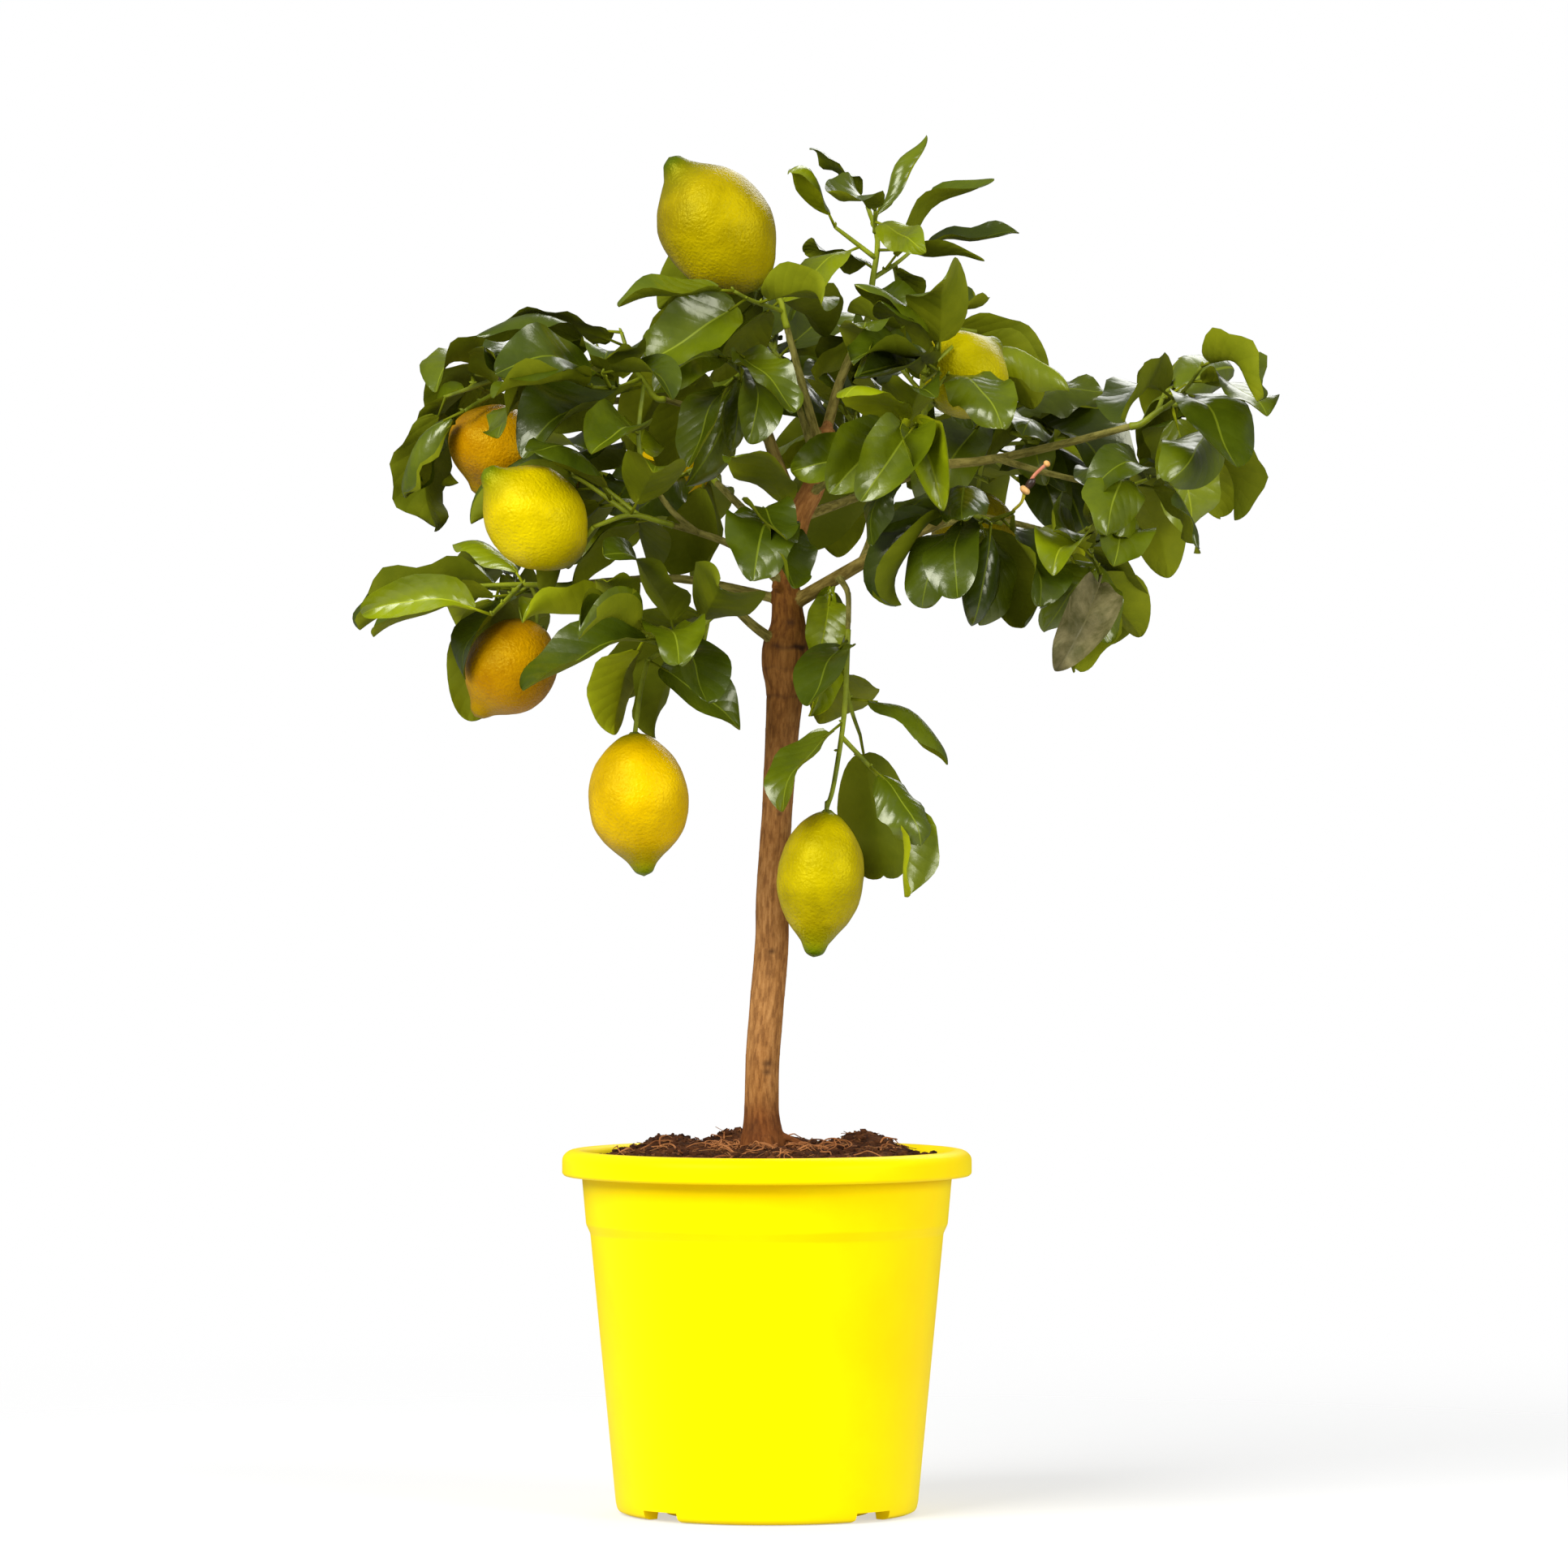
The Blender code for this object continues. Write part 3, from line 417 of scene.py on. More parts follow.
def chip(bm, rng, matrix):
    """A flat chip of bark with uneven corners."""
    size = rng.uniform(0.002, 0.0048)
    shape = Matrix.Diagonal((size * 0.6, size, 0.0007, 1))
    grown = bmesh.ops.create_cube(bm, size=1, matrix=matrix @ Matrix.Translation((0, 0, 0.0006)) @ shape)
    for vert in grown["verts"]:
        vert.co += Vector([rng.uniform(-0.18, 0.18) * size for _ in range(3)])


# %% Strewing them
dark_crumb = finish("dark crumbs", [(0.022, 0.007, 0.003), (0.085, 0.029, 0.009)], 90, 0.95,
                    (700, 0.6, 0.0006), specular=0.1)
tan_fibre = finish("tan fibres", [(0.18, 0.068, 0.020), (0.34, 0.15, 0.045)], 60, 0.85, (900, 0.4, 0.0003),
                   specular=0.15)
bark_chip = finish("bark chips", [(0.08, 0.028, 0.012), (0.19, 0.08, 0.03)], 120, 0.9, (600, 0.6, 0.0006),
                   specular=0.1)
piece("compost_crumbs", mesh_of(bits(2400, crumb, 3), "crumbs"), [dark_crumb])
piece("compost_fibres", mesh_of(bits(150, fibre, 5), "fibres"), [tan_fibre])
piece("compost_chips", mesh_of(bits(110, chip, 7), "chips", False), [bark_chip])

# %% [markdown]
# ## How the tree grows
# A trunk, boughs that leave it, and on the tip of each bough one mass of foliage: a stem, side twigs and
# leaves set round them by the golden angle. A leaf or twig that would leave the mass's space, or touch
# what is already there, is turned round the twig and tried again, and after some tries left out. All of it
# follows from a short table and one seed for each mass, and it is the rule that the solids grew by.

# %% Sizes of the tree
CLEAR = 0.0003                 # gap between two solids that meet
GOLDEN = math.radians(137.5)   # turn from one leaf to the next round a twig
LEAF_ROOM = 0.0023             # half the room between leaves of two masses

# The trunk leans and bends: (x, z, radius) from the compost to its fork, the graft collar at 495 to 507
TRUNK = [(-2.4, 213.3, 14.0), (-2.9, 227, 11.4), (-3.1, 239, 10.3), (-2.4, 268, 10.1), (-0.2, 296, 10.2),
         (2.9, 334, 10.0), (3.1, 363, 9.5), (5.9, 410, 9.1), (9.0, 458, 10.0), (10.6, 482, 11.0),
         (10.5, 495, 12.6), (10.9, 507, 12.8), (12.4, 519, 10.4), (11.6, 534, 8.8), (11.6, 553, 7.8),
         (18.5, 582, 7.2), (27.6, 601, 6.9), (32.8, 621, 6.1), (34.7, 635, 5.6)]


# %% Boughs
# Bough: the limb that it leaves and where along it, its tip, how far its middle bows from the
# straight line, and its radius at both ends
BOUGHS = {
    "low_left": ("trunk", 0.688, (-20, -30, 530), (-2, 2, 0), 3.6, 2.4),
    "left": ("trunk", 0.753, (-116, -4, 543), (0, 17, 9), 3.2, 2.0),
    "mid_left": ("trunk", 0.772, (-57, -54, 577), (3, -1, 6), 3.0, 1.9),
    "shoot": ("mid_left", 0.785, (-69, -68, 604), (0, -6, -4), 2.2, 1.6),
    "upper_left": ("trunk", 0.870, (-7, 4, 654), (-1, 9, 0), 4.8, 3.0),
    "far_left": ("upper_left", 0.835, (-130, 18, 650), (3, 27, 7), 3.0, 2.0),
    "inner_left": ("upper_left", 0.655, (-62, -30, 651), (1, -1, 2), 2.6, 1.9),
    "top_left": ("trunk", 0.960, (11, -24, 695), (0, -5, 0), 3.2, 2.0),
    "top": ("trunk", 0.985, (58, 22, 698), (-3, 7, 0), 3.6, 2.2),
    "top_right": ("top", 0.760, (89, 36, 695), (-1, 3, 1), 2.0, 1.6),
    "upper_right": ("trunk", 0.975, (88, -36, 640), (1, -5, -4), 3.0, 2.0),
    "far_right": ("trunk", 0.950, (216, 6, 637), (1, 23, -9), 3.6, 2.2),
    "outer_right": ("far_right", 0.557, (190, -14, 602), (-4, -5, 0), 2.4, 1.8),
    "right": ("trunk", 0.745, (105, -40, 582), (0, -1, 1), 4.6, 3.2),
    "low_right": ("right", 0.780, (164, -14, 574), (-3, 10, 10), 2.6, 1.9),
    "hanging": ("right", 0.323, (47, -44, 513), (3, -7, 7), 2.2, 1.6),
    "back_centre": ("right", 0.473, (55, 88, 612), (8, 2, -3), 3.0, 2.0),
    "back_left": ("trunk", 0.812, (-31, 112, 608), (3, 3, -2), 3.4, 2.2),
    "back_right": ("trunk", 0.870, (97, 112, 615), (-5, 5, -2), 3.4, 2.2),
    "back_top": ("trunk", 0.927, (14, 76, 666), (4, 8, -7), 3.2, 2.0),
    "centre": ("trunk", 0.905, (63, -62, 617), (0, -1, 2), 2.6, 1.7),
    "front": ("trunk", 0.805, (14, -62, 582), (5, -1, 0), 2.4, 1.6),
}


# %% Masses of foliage
# Mass, each on the bough of its name: its stem's course, the middle of its space (both from the bough's
# tip) and half its size, the side twigs, the length of a leaf, its droop in radians and the seed
MASSES = {
    "top": ([(4, -2, 24), (7, -6, 48), (1, -10, 68)], (13, -6, 55), (81, 95, 64), 3, 66, 0.5, 23),
    "top_left": ([(-3, -2, 13), (-10, 0, 22)], (-38, 0, 15), (90, 100, 52), 3, 80, 0.7, 120),
    "upper_left": ([(-8, -14, 14), (-24, -26, 26)], (-33, -24, 8), (68, 95, 62), 3, 80, 1.0, 129),
    "inner_left": ([(-14, -10, 15), (-36, -16, 28)], (-40, -20, 19), (78, 95, 59), 3, 80, 0.9, 17),
    "far_left": ([(-20, -10, 13), (-41, -18, 17)], (-44, -18, -16), (59, 100, 67), 3, 80, 1.1, 95),
    "mid_left": ([(-22, -8, 5), (-43, -12, -2)], (-50, -6, 19), (71, 95, 71), 3, 80, 1.1, 98),
    "left": ([(-29, -8, 0), (-56, -12, -1)], (-56, -6, -23), (64, 100, 62), 3, 80, 1.0, 114),
    "low_left": ([(-20, -14, -13), (-49, -26, -32)], (-56, -24, -20), (78, 95, 59), 3, 80, 0.9, 44),
    "shoot": ([(-5, -2, 25), (-2, 2, 53)], (0, 0, 25), (54, 75, 67), 2, 76, 0.8, 45),
    "centre": ([(13, -8, 5), (25, -16, 10)], (6, -10, -4), (62, 85, 59), 3, 78, 1.0, 8),
    "front": ([(-5, -13, -5), (-10, -23, -7)], (-12, -23, -5), (48, 80, 48), 1, 74, 0.9, 111),
    "hanging": ([(-2, -2, -45), (-8, -2, -86), (-12, -2, -100)], (8, 0, -45), (69, 70, 114), 2, 80, 1.0, 115),
    "right": ([(14, -12, 0), (31, -20, -5)], (14, -20, -19), (59, 95, 59), 3, 78, 1.2, 1),
    "low_right": ([(14, -8, -5), (26, -14, -12)], (14, -16, -29), (52, 95, 55), 3, 78, 1.1, 33),
    "upper_right": ([(2, -12, 16), (4, -18, 32)], (9, -4, 27), (71, 100, 57), 4, 80, 0.9, 9),
    "top_right": ([(16, 4, 1), (35, 6, -1)], (39, 2, -18), (67, 85, 45), 3, 76, 0.9, 116),
    "far_right": ([(19, -4, 11), (43, -8, 14)], (33, -6, 0), (56, 105, 62), 4, 78, 1.1, 93),
    "outer_right": ([(14, -6, -1), (26, -10, -6)], (21, -10, -20), (48, 90, 50), 2, 76, 1.2, 50),
    "back_centre": ([(-1, 24, 19), (-2, 42, 36)], (0, 42, 26), (71, 110, 76), 3, 82, 1.0, 142),
    "back_left": ([(-14, 28, 12), (-31, 48, 19)], (-43, 28, 12), (86, 115, 71), 4, 82, 1.0, 134),
    "back_right": ([(24, 18, 5), (48, 38, 10)], (43, 28, 0), (86, 115, 69), 4, 82, 1.0, 16),
    "back_top": ([(-7, 14, 15), (-17, 24, 29)], (-21, 14, 15), (71, 110, 57), 3, 80, 1.0, 141),
}
LEAF_GAP = {"top": 13, "top_left": 11, "shoot": 13, "hanging": 22,
            "back_centre": 19, "back_left": 19, "back_right": 19}     # spacing along a twig, 15 elsewhere
BARE = {"top": 0.3, "hanging": 0.03}              # share of the stem with no leaf, 0.25 elsewhere


# %% Where the lemons hang
# Lemon, by its mass: stalk end, tip, radius, and where its twig leaves the stem
LEMONS = {
    "top_left": ((0, -24, 718), (-52, -34, 794), 32.5, 1.0),
    "far_left": ((-150, 14, 648), (-170, 14, 596), 29.0, 0.3),
    "mid_left": ((-109, -58, 556), (-163, -74, 608), 28.5, 1.0),
    "left": ((-132, -4, 519), (-171, -6, 466), 26.5, 0.4),
    "low_left": ((-77, -56, 456), (-71, -56, 373), 29.2, 1.0),
    "hanging": ((35, -46, 411), (27, -46, 326), 25.4, 1.0),
    "upper_right": ((97, -26, 648), (136, -12, 686), 27.0, 0.15),
    "back_left": ((-51, 152, 652), (-62, 160, 594), 26.2, 0.6),
    "back_right": ((127, 150, 604), (124, 156, 542), 26.2, 0.7),
}

Leaf = namedtuple("Leaf", "root heading face petiole length width bend cup twist sweep tone")
Limb = namedtuple("Limb", "path radii")
Fruit = namedtuple("Fruit", "stalk axis length radius")
Mass = namedtuple("Mass", "heart reach twigs leaf droop gap bare")
Pace = namedtuple("Pace", "own_share tries")
SOLID_PACE = Pace(0.62, 9)      # share of the room that leaves of one mass keep, and tries for each leaf
FINE_PACE = Pace(0.45, 5)       # closer together, for the finer twigs

# %% [markdown]
# Finer twigs are set between those of the solids, in the room that is left. Each mass has a count of them
# and a second seed.

# %% Seeds of the finer twigs
FINE_TWIGS = {
    "top": (0, 0), "top_left": (1, 18), "upper_left": (3, 2), "inner_left": (3, 11), "far_left": (1, 16),
    "mid_left": (1, 16), "left": (2, 10), "low_left": (2, 7), "shoot": (0, 0), "centre": (3, 19),
    "front": (0, 11), "hanging": (1, 19), "right": (3, 9), "low_right": (3, 20), "upper_right": (3, 3),
    "top_right": (3, 5), "far_right": (3, 13), "outer_right": (3, 23), "back_centre": (4, 14),
    "back_left": (4, 11), "back_right": (4, 17), "back_top": (4, 4),
}


# %% Curves
def unit(v):
    """The vector at length one."""
    v = np.asarray(v, float)
    return v / np.linalg.norm(v)


def turned(v, axis, angle):
    """The vector turned round an axis of length one."""
    c, s = math.cos(angle), math.sin(angle)
    return v * c + np.cross(axis, v) * s + axis * (axis @ v) * (1 - c)


def smooth_path(points, spans):
    """A smooth curve through the points, with so many spans between two of them."""
    p = np.array(points, float)
    p = np.vstack([2 * p[0] - p[1], p, 2 * p[-1] - p[-2]])
    out = []
    for a, b, c, d in zip(p, p[1:], p[2:], p[3:]):
        for t in np.arange(spans) / spans:
            out.append(b + (c - a) * t / 2 + (a - 2.5 * b + 2 * c - d / 2) * t**2
                       + (1.5 * (b - c) + (d - a) / 2) * t**3)
    return np.array([*out, p[-2]])


def run_of(path):
    """How far along the path each of its points is."""
    return np.concatenate([[0], np.cumsum(np.linalg.norm(np.diff(path, axis=0), axis=1))])


def on_path(path, share):
    """Point and direction at a share of a path's length."""
    run = run_of(path)
    want = share * run[-1]
    i = int(np.clip(np.searchsorted(run, want) - 1, 0, len(path) - 2))
    t = (want - run[i]) / (run[i + 1] - run[i])
    return path[i] * (1 - t) + path[i + 1] * t, unit(path[i + 1] - path[i])


# %% Limbs
def make_limbs():
    """The trunk and every bough as a path with a radius at each point."""
    line = np.array(TRUNK) * MM
    limbs = {"trunk": Limb(np.column_stack([line[:, 0], np.zeros(len(line)), line[:, 1]]), line[:, 2])}
    for name, (parent, share, tip, bow, thick, thin) in BOUGHS.items():
        start, _ = on_path(limbs[parent].path, share)
        tip = np.array(tip) * MM
        path = smooth_path([start, (start + tip) / 2 + np.array(bow) * MM, tip], 2)
        limbs[name] = Limb(path, np.linspace(thick, thin, len(path)) * MM)
    return limbs


# %% The surface of a leaf
def outline(s):
    """Half width of a leaf along its rib, as a share of the greatest."""
    return np.sin(np.pi * np.clip(s, 0, 1) ** 0.93) ** 0.66


def leaf_points(leaf, s, t, lift=0.0):
    """Points of the blade: s along the rib from 0 to 1, t across from -1 to 1."""
    s, t = np.broadcast_arrays(np.asarray(s, float), np.asarray(t, float))
    side = np.cross(leaf.heading, leaf.face)
    angle = leaf.bend * s
    rib = (leaf.root + leaf.heading * (leaf.petiole + leaf.length * np.sin(angle) / leaf.bend)[..., None]
           - leaf.face * (leaf.length * (1 - np.cos(angle)) / leaf.bend)[..., None]
           + side * (leaf.sweep * leaf.length * s * s)[..., None])
    up = leaf.face * np.cos(angle)[..., None] + leaf.heading * np.sin(angle)[..., None]
    roll = (leaf.twist * s)[..., None]
    across = side * np.cos(roll) + up * np.sin(roll)
    up = up * np.cos(roll) - side * np.sin(roll)
    half = leaf.width / 2 * outline(s)
    out = half * np.sin(leaf.cup * t) / leaf.cup
    rise = half * (1 - np.cos(leaf.cup * t)) / leaf.cup + lift
    return rib + across * out[..., None] + up * rise[..., None]


PROBE_S, PROBE_T = (g.ravel() for g in np.meshgrid(np.linspace(0.1, 1, 11), np.linspace(-1, 1, 9)))


# %% The shape of a lemon
def lemon_profile(s):
    """Radius share along a lemon: s is 0 at the stalk and 1 at the nipple's tip."""
    body = np.sin(np.pi * np.clip(s / 0.93, 0, 1) ** 0.95) ** 0.62
    nipple = 0.2 * np.clip((s - 0.7) / 0.1, 0, 1) * np.sqrt(np.clip((1 - s) / 0.16, 0, 1))
    return np.maximum(body, nipple)


def lemon_probe(fruit):
    """Balls that stand for a lemon in the room test."""
    s = np.linspace(0.1, 0.95, 7)
    return fruit.stalk + fruit.axis * (fruit.length * s)[:, None], fruit.radius * lemon_profile(s)


def lemon_of(name):
    """The lemon of a mass, or None."""
    if name not in LEMONS:
        return None
    stalk, tip, radius, _ = LEMONS[name]
    line = (np.array(tip) - stalk) * MM
    return Fruit(np.array(stalk) * MM, unit(line), float(np.linalg.norm(line)), radius * MM)


# %% Room taken so far
def limb_probe(limb):
    """Balls that stand for a limb in the room test."""
    run = run_of(limb.path)
    want = np.linspace(0, run[-1], max(2, int(run[-1] / 0.004)))
    centres = np.stack([np.interp(want, run, limb.path[:, k]) for k in range(3)], 1)
    return centres, np.interp(want, run, limb.radii)


class Room:
    """What is placed so far, each piece stood for by a string of balls."""

    def __init__(self):
        self.balls = np.zeros((0, 5))

    def add(self, balls, owner):
        """Takes room for an owner: the number of a mass, or -1 for a limb."""
        centres, radii = balls
        rows = np.empty((len(centres), 5))
        rows[:, :3] = centres
        rows[:, 3] = radii
        rows[:, 4] = owner
        self.balls = np.vstack([self.balls, rows])

    def clear(self, balls, owner, own_share):
        """Whether these balls touch nothing that is placed."""
        centres, radii = balls
        middle = centres.mean(0)
        reach = np.linalg.norm(centres - middle, axis=1).max() + 0.045
        near = self.balls[((self.balls[:, :3] - middle) ** 2).sum(1) < reach**2]
        if not len(near):
            return True
        gap = np.linalg.norm(centres[:, None] - near[None, :, :3], axis=2)
        share = np.where(near[:, 4] == owner, own_share, 1.0)
        need = (np.broadcast_to(radii, len(centres))[:, None] + near[:, 3]) * share
        return bool((gap > need).all())


def inside(points, mass):
    """Whether the points keep within the space of the mass."""
    return bool(((np.abs((points - mass.heart) / mass.reach) ** 2.6).sum(-1) <= 1).all())


# %% Leaves on a twig
def try_leaf(rng, spot, along, out, opened, mass, room, owner, pace):
    """A leaf at this spot of a twig, or None where it would touch or leave the space."""
    away = spot - mass.heart
    away = away / max(np.linalg.norm(away), 1e-6)
    heading = unit(along * math.cos(opened) + out * math.sin(opened) + [0, 0, rng.uniform(-0.15, 0.25)])
    heading = unit(heading + away * 0.35)
    sky = np.array([0, 0, 1.0]) + away * rng.uniform(0.0, 0.5)
    face = sky - heading * (sky @ heading)
    if np.linalg.norm(face) < 0.2:
        face = np.cross(heading, [0.6, 0.8, 0.0])
    face = turned(unit(face), heading, math.radians(rng.gauss(0, 22)))
    length = mass.leaf * rng.uniform(0.76, 1.12)
    stalk = length * rng.uniform(0.12, 0.18)
    leaf = Leaf(spot, heading, face, stalk, length, length * rng.uniform(0.5, 0.6),
                mass.droop * rng.uniform(0.55, 1.35), rng.choice([-1, 1, 1]) * rng.uniform(0.15, 0.75),
                rng.uniform(-0.5, 0.5), rng.uniform(-0.12, 0.12), rng.random())
    points = leaf_points(leaf, PROBE_S, PROBE_T)
    if not inside(points, mass) or not room.clear((points, LEAF_ROOM), owner, pace.own_share):
        return None
    room.add((points, LEAF_ROOM), owner)
    return leaf


def dress(rng, path, bare, mass, room, owner, roll, pace):
    """Leaves along a twig, the last at its tip: (share, leaf) pairs."""
    count = max(1, round(run_of(path)[-1] * (1 - bare) / mass.gap))
    grown = []
    for k in range(count, -1, -1):
        share = bare + (1 - bare) * max(0, k - (0.4 * rng.random() if k < count else 0)) / count
        spot, along = on_path(path, share)
        across = unit(np.cross(along, [0.3, 0.2, 1.0]))
        for _ in range(pace.tries):
            roll += GOLDEN
            opened = math.radians(rng.uniform(10, 40) if k == count else rng.uniform(45, 75))
            leaf = try_leaf(rng, spot, along, turned(across, along, roll), opened, mass, room, owner, pace)
            if leaf:
                grown.append((share, leaf))
                break
    return grown


# %% A side twig
def side_twig(rng, stem, share, roll, mass, room, owner, pace):
    """A twig with its leaves on the stem at this share, or None."""
    spot, along = on_path(stem, share)
    for _ in range(pace.tries):
        roll += GOLDEN
        out = turned(unit(np.cross(along, [0.3, 0.2, 1.0])), along, roll)
        lean = math.radians(rng.uniform(35, 65))
        way = unit(along * math.cos(lean) + out * math.sin(lean))
        size = 0.05 * rng.uniform(0.7, 1.25)
        middle = spot + way * size * 0.5
        tip = middle + unit(way + [0, 0, rng.uniform(-0.25, 0.4)]) * size * 0.5
        twig = Limb(np.array([spot, middle, tip]), np.array([1.5, 1.2, 1.0]) * MM)
        centres, radii = limb_probe(twig)
        free = room.clear((centres[3:], radii[3:] + 0.002), owner, pace.own_share)
        if not inside(twig.path[1:], mass) or not free:
            continue
        before = room.balls
        room.add((centres, radii), owner)
        grown = dress(rng, twig.path, 0.25, mass, room, owner, roll, pace)
        if len(grown) < 2:
            room.balls = before
            continue
        last = max(share for share, _ in grown)
        if last < 1:
            end, _ = on_path(twig.path, last)
            path = np.array([spot, middle, end] if last > 0.6 else [spot, (spot + end) / 2, end])
            twig = Limb(path, twig.radii)
        return twig, [leaf for _, leaf in grown]
    return None


# %% A whole mass
def stem_of(name, limbs):
    """The stem of a mass, which starts just clear of its bough's tip, and the twig of its lemon."""
    bough = limbs[name].path
    way = unit(bough[-1] - bough[-2])
    start = bough[-1] + way * CLEAR
    knee = start + way * 0.004
    path = np.array([start, knee, *(bough[-1] + np.array(p) * MM for p in MASSES[name][0])])
    twigs = [Limb(path, np.linspace(1.9, 1.2, len(path)) * MM)]
    fruit = lemon_of(name)
    if fruit:
        hold, _ = on_path(path, LEMONS[name][3])
        middle = (hold + fruit.stalk) / 2 + [0, 0, 0.004]
        twigs.append(Limb(np.array([hold, middle, fruit.stalk + fruit.axis * 0.004]), np.full(3, 1.3 * MM)))
    return twigs


def mass_of(name, limbs):
    """The space and habits of a mass, from its row of the table."""
    _, heart, reach, twig_count, leaf, droop, _ = MASSES[name]
    middle = limbs[name].path[-1] + np.array(heart) * MM
    return Mass(middle, np.array(reach) * MM, twig_count, leaf * MM, droop, LEAF_GAP.get(name, 15) * MM,
                BARE.get(name, 0.25))


def grow(name, limbs, room):
    """The twigs of one mass, each with its leaves. The stem comes first, then the twig of its lemon."""
    mass = mass_of(name, limbs)
    owner = list(MASSES).index(name)
    rng = random.Random(MASSES[name][-1])
    stem, *others = stem_of(name, limbs)
    found = [(twig, []) for twig in others]
    roll = rng.uniform(0, 2 * math.pi)
    for k in range(mass.twigs):
        roll += GOLDEN
        share = 0.25 + 0.67 * (k + 0.6 * rng.random()) / mass.twigs
        side = side_twig(rng, stem.path, share, roll, mass, room, owner, SOLID_PACE)
        if side:
            found.append(side)
    leaves = [leaf for _, leaf in dress(rng, stem.path, mass.bare, mass, room, owner, roll, SOLID_PACE)]
    return [(stem, leaves), *found]


def empty_room(limbs):
    """The room that the limbs, stems and lemons take, before any leaf grows."""
    room = Room()
    for limb in limbs.values():
        room.add(limb_probe(limb), -1)
    for owner, name in enumerate(MASSES):
        for twig in stem_of(name, limbs):
            room.add(limb_probe(twig), owner)
        if name in LEMONS:
            room.add(lemon_probe(lemon_of(name)), owner)
    return room


# %% Growing it
def grow_fine(name, limbs, room, twigs):
    """More twigs with smaller leaves on the twigs of a mass."""
    count, seed = FINE_TWIGS[name]
    mass = mass_of(name, limbs)._replace(leaf=MASSES[name][4] * MM * 0.86, gap=0.015, bare=0.25)
    owner = list(MASSES).index(name)
    rng = random.Random(seed)
    hosts = [twig for k, twig in enumerate(twigs) if not (k == 1 and name in LEMONS)]
    roll = rng.uniform(0, 2 * math.pi)
    grown = []
    for _ in range(count):
        roll += GOLDEN
        host = hosts[rng.randrange(len(hosts))]
        found = side_twig(rng, host.path, 0.25 + 0.65 * rng.random(), roll, mass, room, owner, FINE_PACE)
        if found:
            grown.append(found)
    return grown


limbs = make_limbs()
room = empty_room(limbs)
sprays = []     # (mass, twig, leaves)
for name in MASSES:
    sprays += [(name, twig, leaves) for twig, leaves in grow(name, limbs, room)]
solid_twigs = {name: [twig for at, twig, _ in sprays if at == name] for name in MASSES}
for name in MASSES:
    if FINE_TWIGS[name][0]:
        sprays += [(name, twig, leaves) for twig, leaves in grow_fine(name, limbs, room, solid_twigs[name])]
print("sprays", len(sprays), "leaves", sum(len(leaves) for _, _, leaves in sprays))

# %% [markdown]
# ## Wood
# The trunk and boughs are one grown piece of wood, so their tubes are fused: a voxel remesh of all of them
# together makes one skin, and smoothing it gives each fork its little collar. Bark relief follows the
# limb, so every point first learns which limb it is on, and its place round and along it.


# %% Limbs as tubes
def tube(name, path, radii, sides=12):
    """A bevelled curve through the path, with a radius at each point."""
    curve = bpy.data.curves.new(name, "CURVE")
    curve.dimensions = "3D"
    curve.bevel_depth = 1.0
    curve.bevel_resolution = (sides - 4) // 2
    curve.use_fill_caps = True
    line = curve.splines.new("POLY")
    line.points.add(len(path) - 1)
    for point, spot, radius in zip(line.points, path, radii):
        point.co = (*spot, 1)
        point.radius = radius
    holder = bpy.data.objects.new(name, curve)
    scene.collection.objects.link(holder)
    return holder


def fused(holders):
    """The curves as meshes with welded caps, all in one bmesh."""
    graph = bpy.context.evaluated_depsgraph_get()
    bm = bmesh.new()
    for holder in holders:
        mesh = bpy.data.meshes.new_from_object(holder.evaluated_get(graph))
        bm.from_mesh(mesh)
        bpy.data.meshes.remove(mesh)
    bmesh.ops.remove_doubles(bm, verts=bm.verts, dist=1e-6)
    for holder in holders:
        curve = holder.data
        bpy.data.objects.remove(holder, do_unlink=True)
        bpy.data.curves.remove(curve)
    bmesh.ops.recalc_face_normals(bm, faces=bm.faces)
    return bm


def finer(limb, spans):
    """The limb with more points on the same curve."""
    both = smooth_path(np.column_stack([limb.path, limb.radii]), spans)
    return Limb(both[:, :3], both[:, 3])


# %% Trunk, roots, stub and boughs
ROOTS = [((1, -24, 209), 5.0), ((34, -9, 210), 2.6), ((-19, 17, 209), 4.5), ((14, 24, 209), 4.0)]
trunk = limbs["trunk"]
swell = 1 + 0.08 * np.exp(-((trunk.path[:, 2] - 0.497) / 0.019) ** 2)      # the graft collar
wood_limbs = {"trunk": finer(Limb(np.vstack([[trunk.path[0][0], 0, 0.204], trunk.path]),
                                  np.concatenate([[0.0142], trunk.radii * swell])), 6)}
for name in BOUGHS:
    wood_limbs[name] = finer(limbs[name], 3)
for index, (tip, radius) in enumerate(ROOTS):
    path = smooth_path([(-0.0025, 0, 0.226), np.array([tip[0] * 0.55, tip[1] * 0.55, 216.5]) * MM,
                        np.array(tip) * MM], 6)
    wood_limbs[f"root {index}"] = Limb(path, np.linspace(radius, radius * 0.45, len(path)) * MM)
spot, _ = on_path(trunk.path, 0.765)
stub_middle = spot + np.array([-4.5, -7.5, 2.5]) * MM
stub_end = spot + np.array([-7.5, -10.5, 4.0]) * MM
wood_limbs["stub"] = Limb(np.array([spot, stub_middle, stub_end]), np.array([3.0, 2.7, 2.5]) * MM)

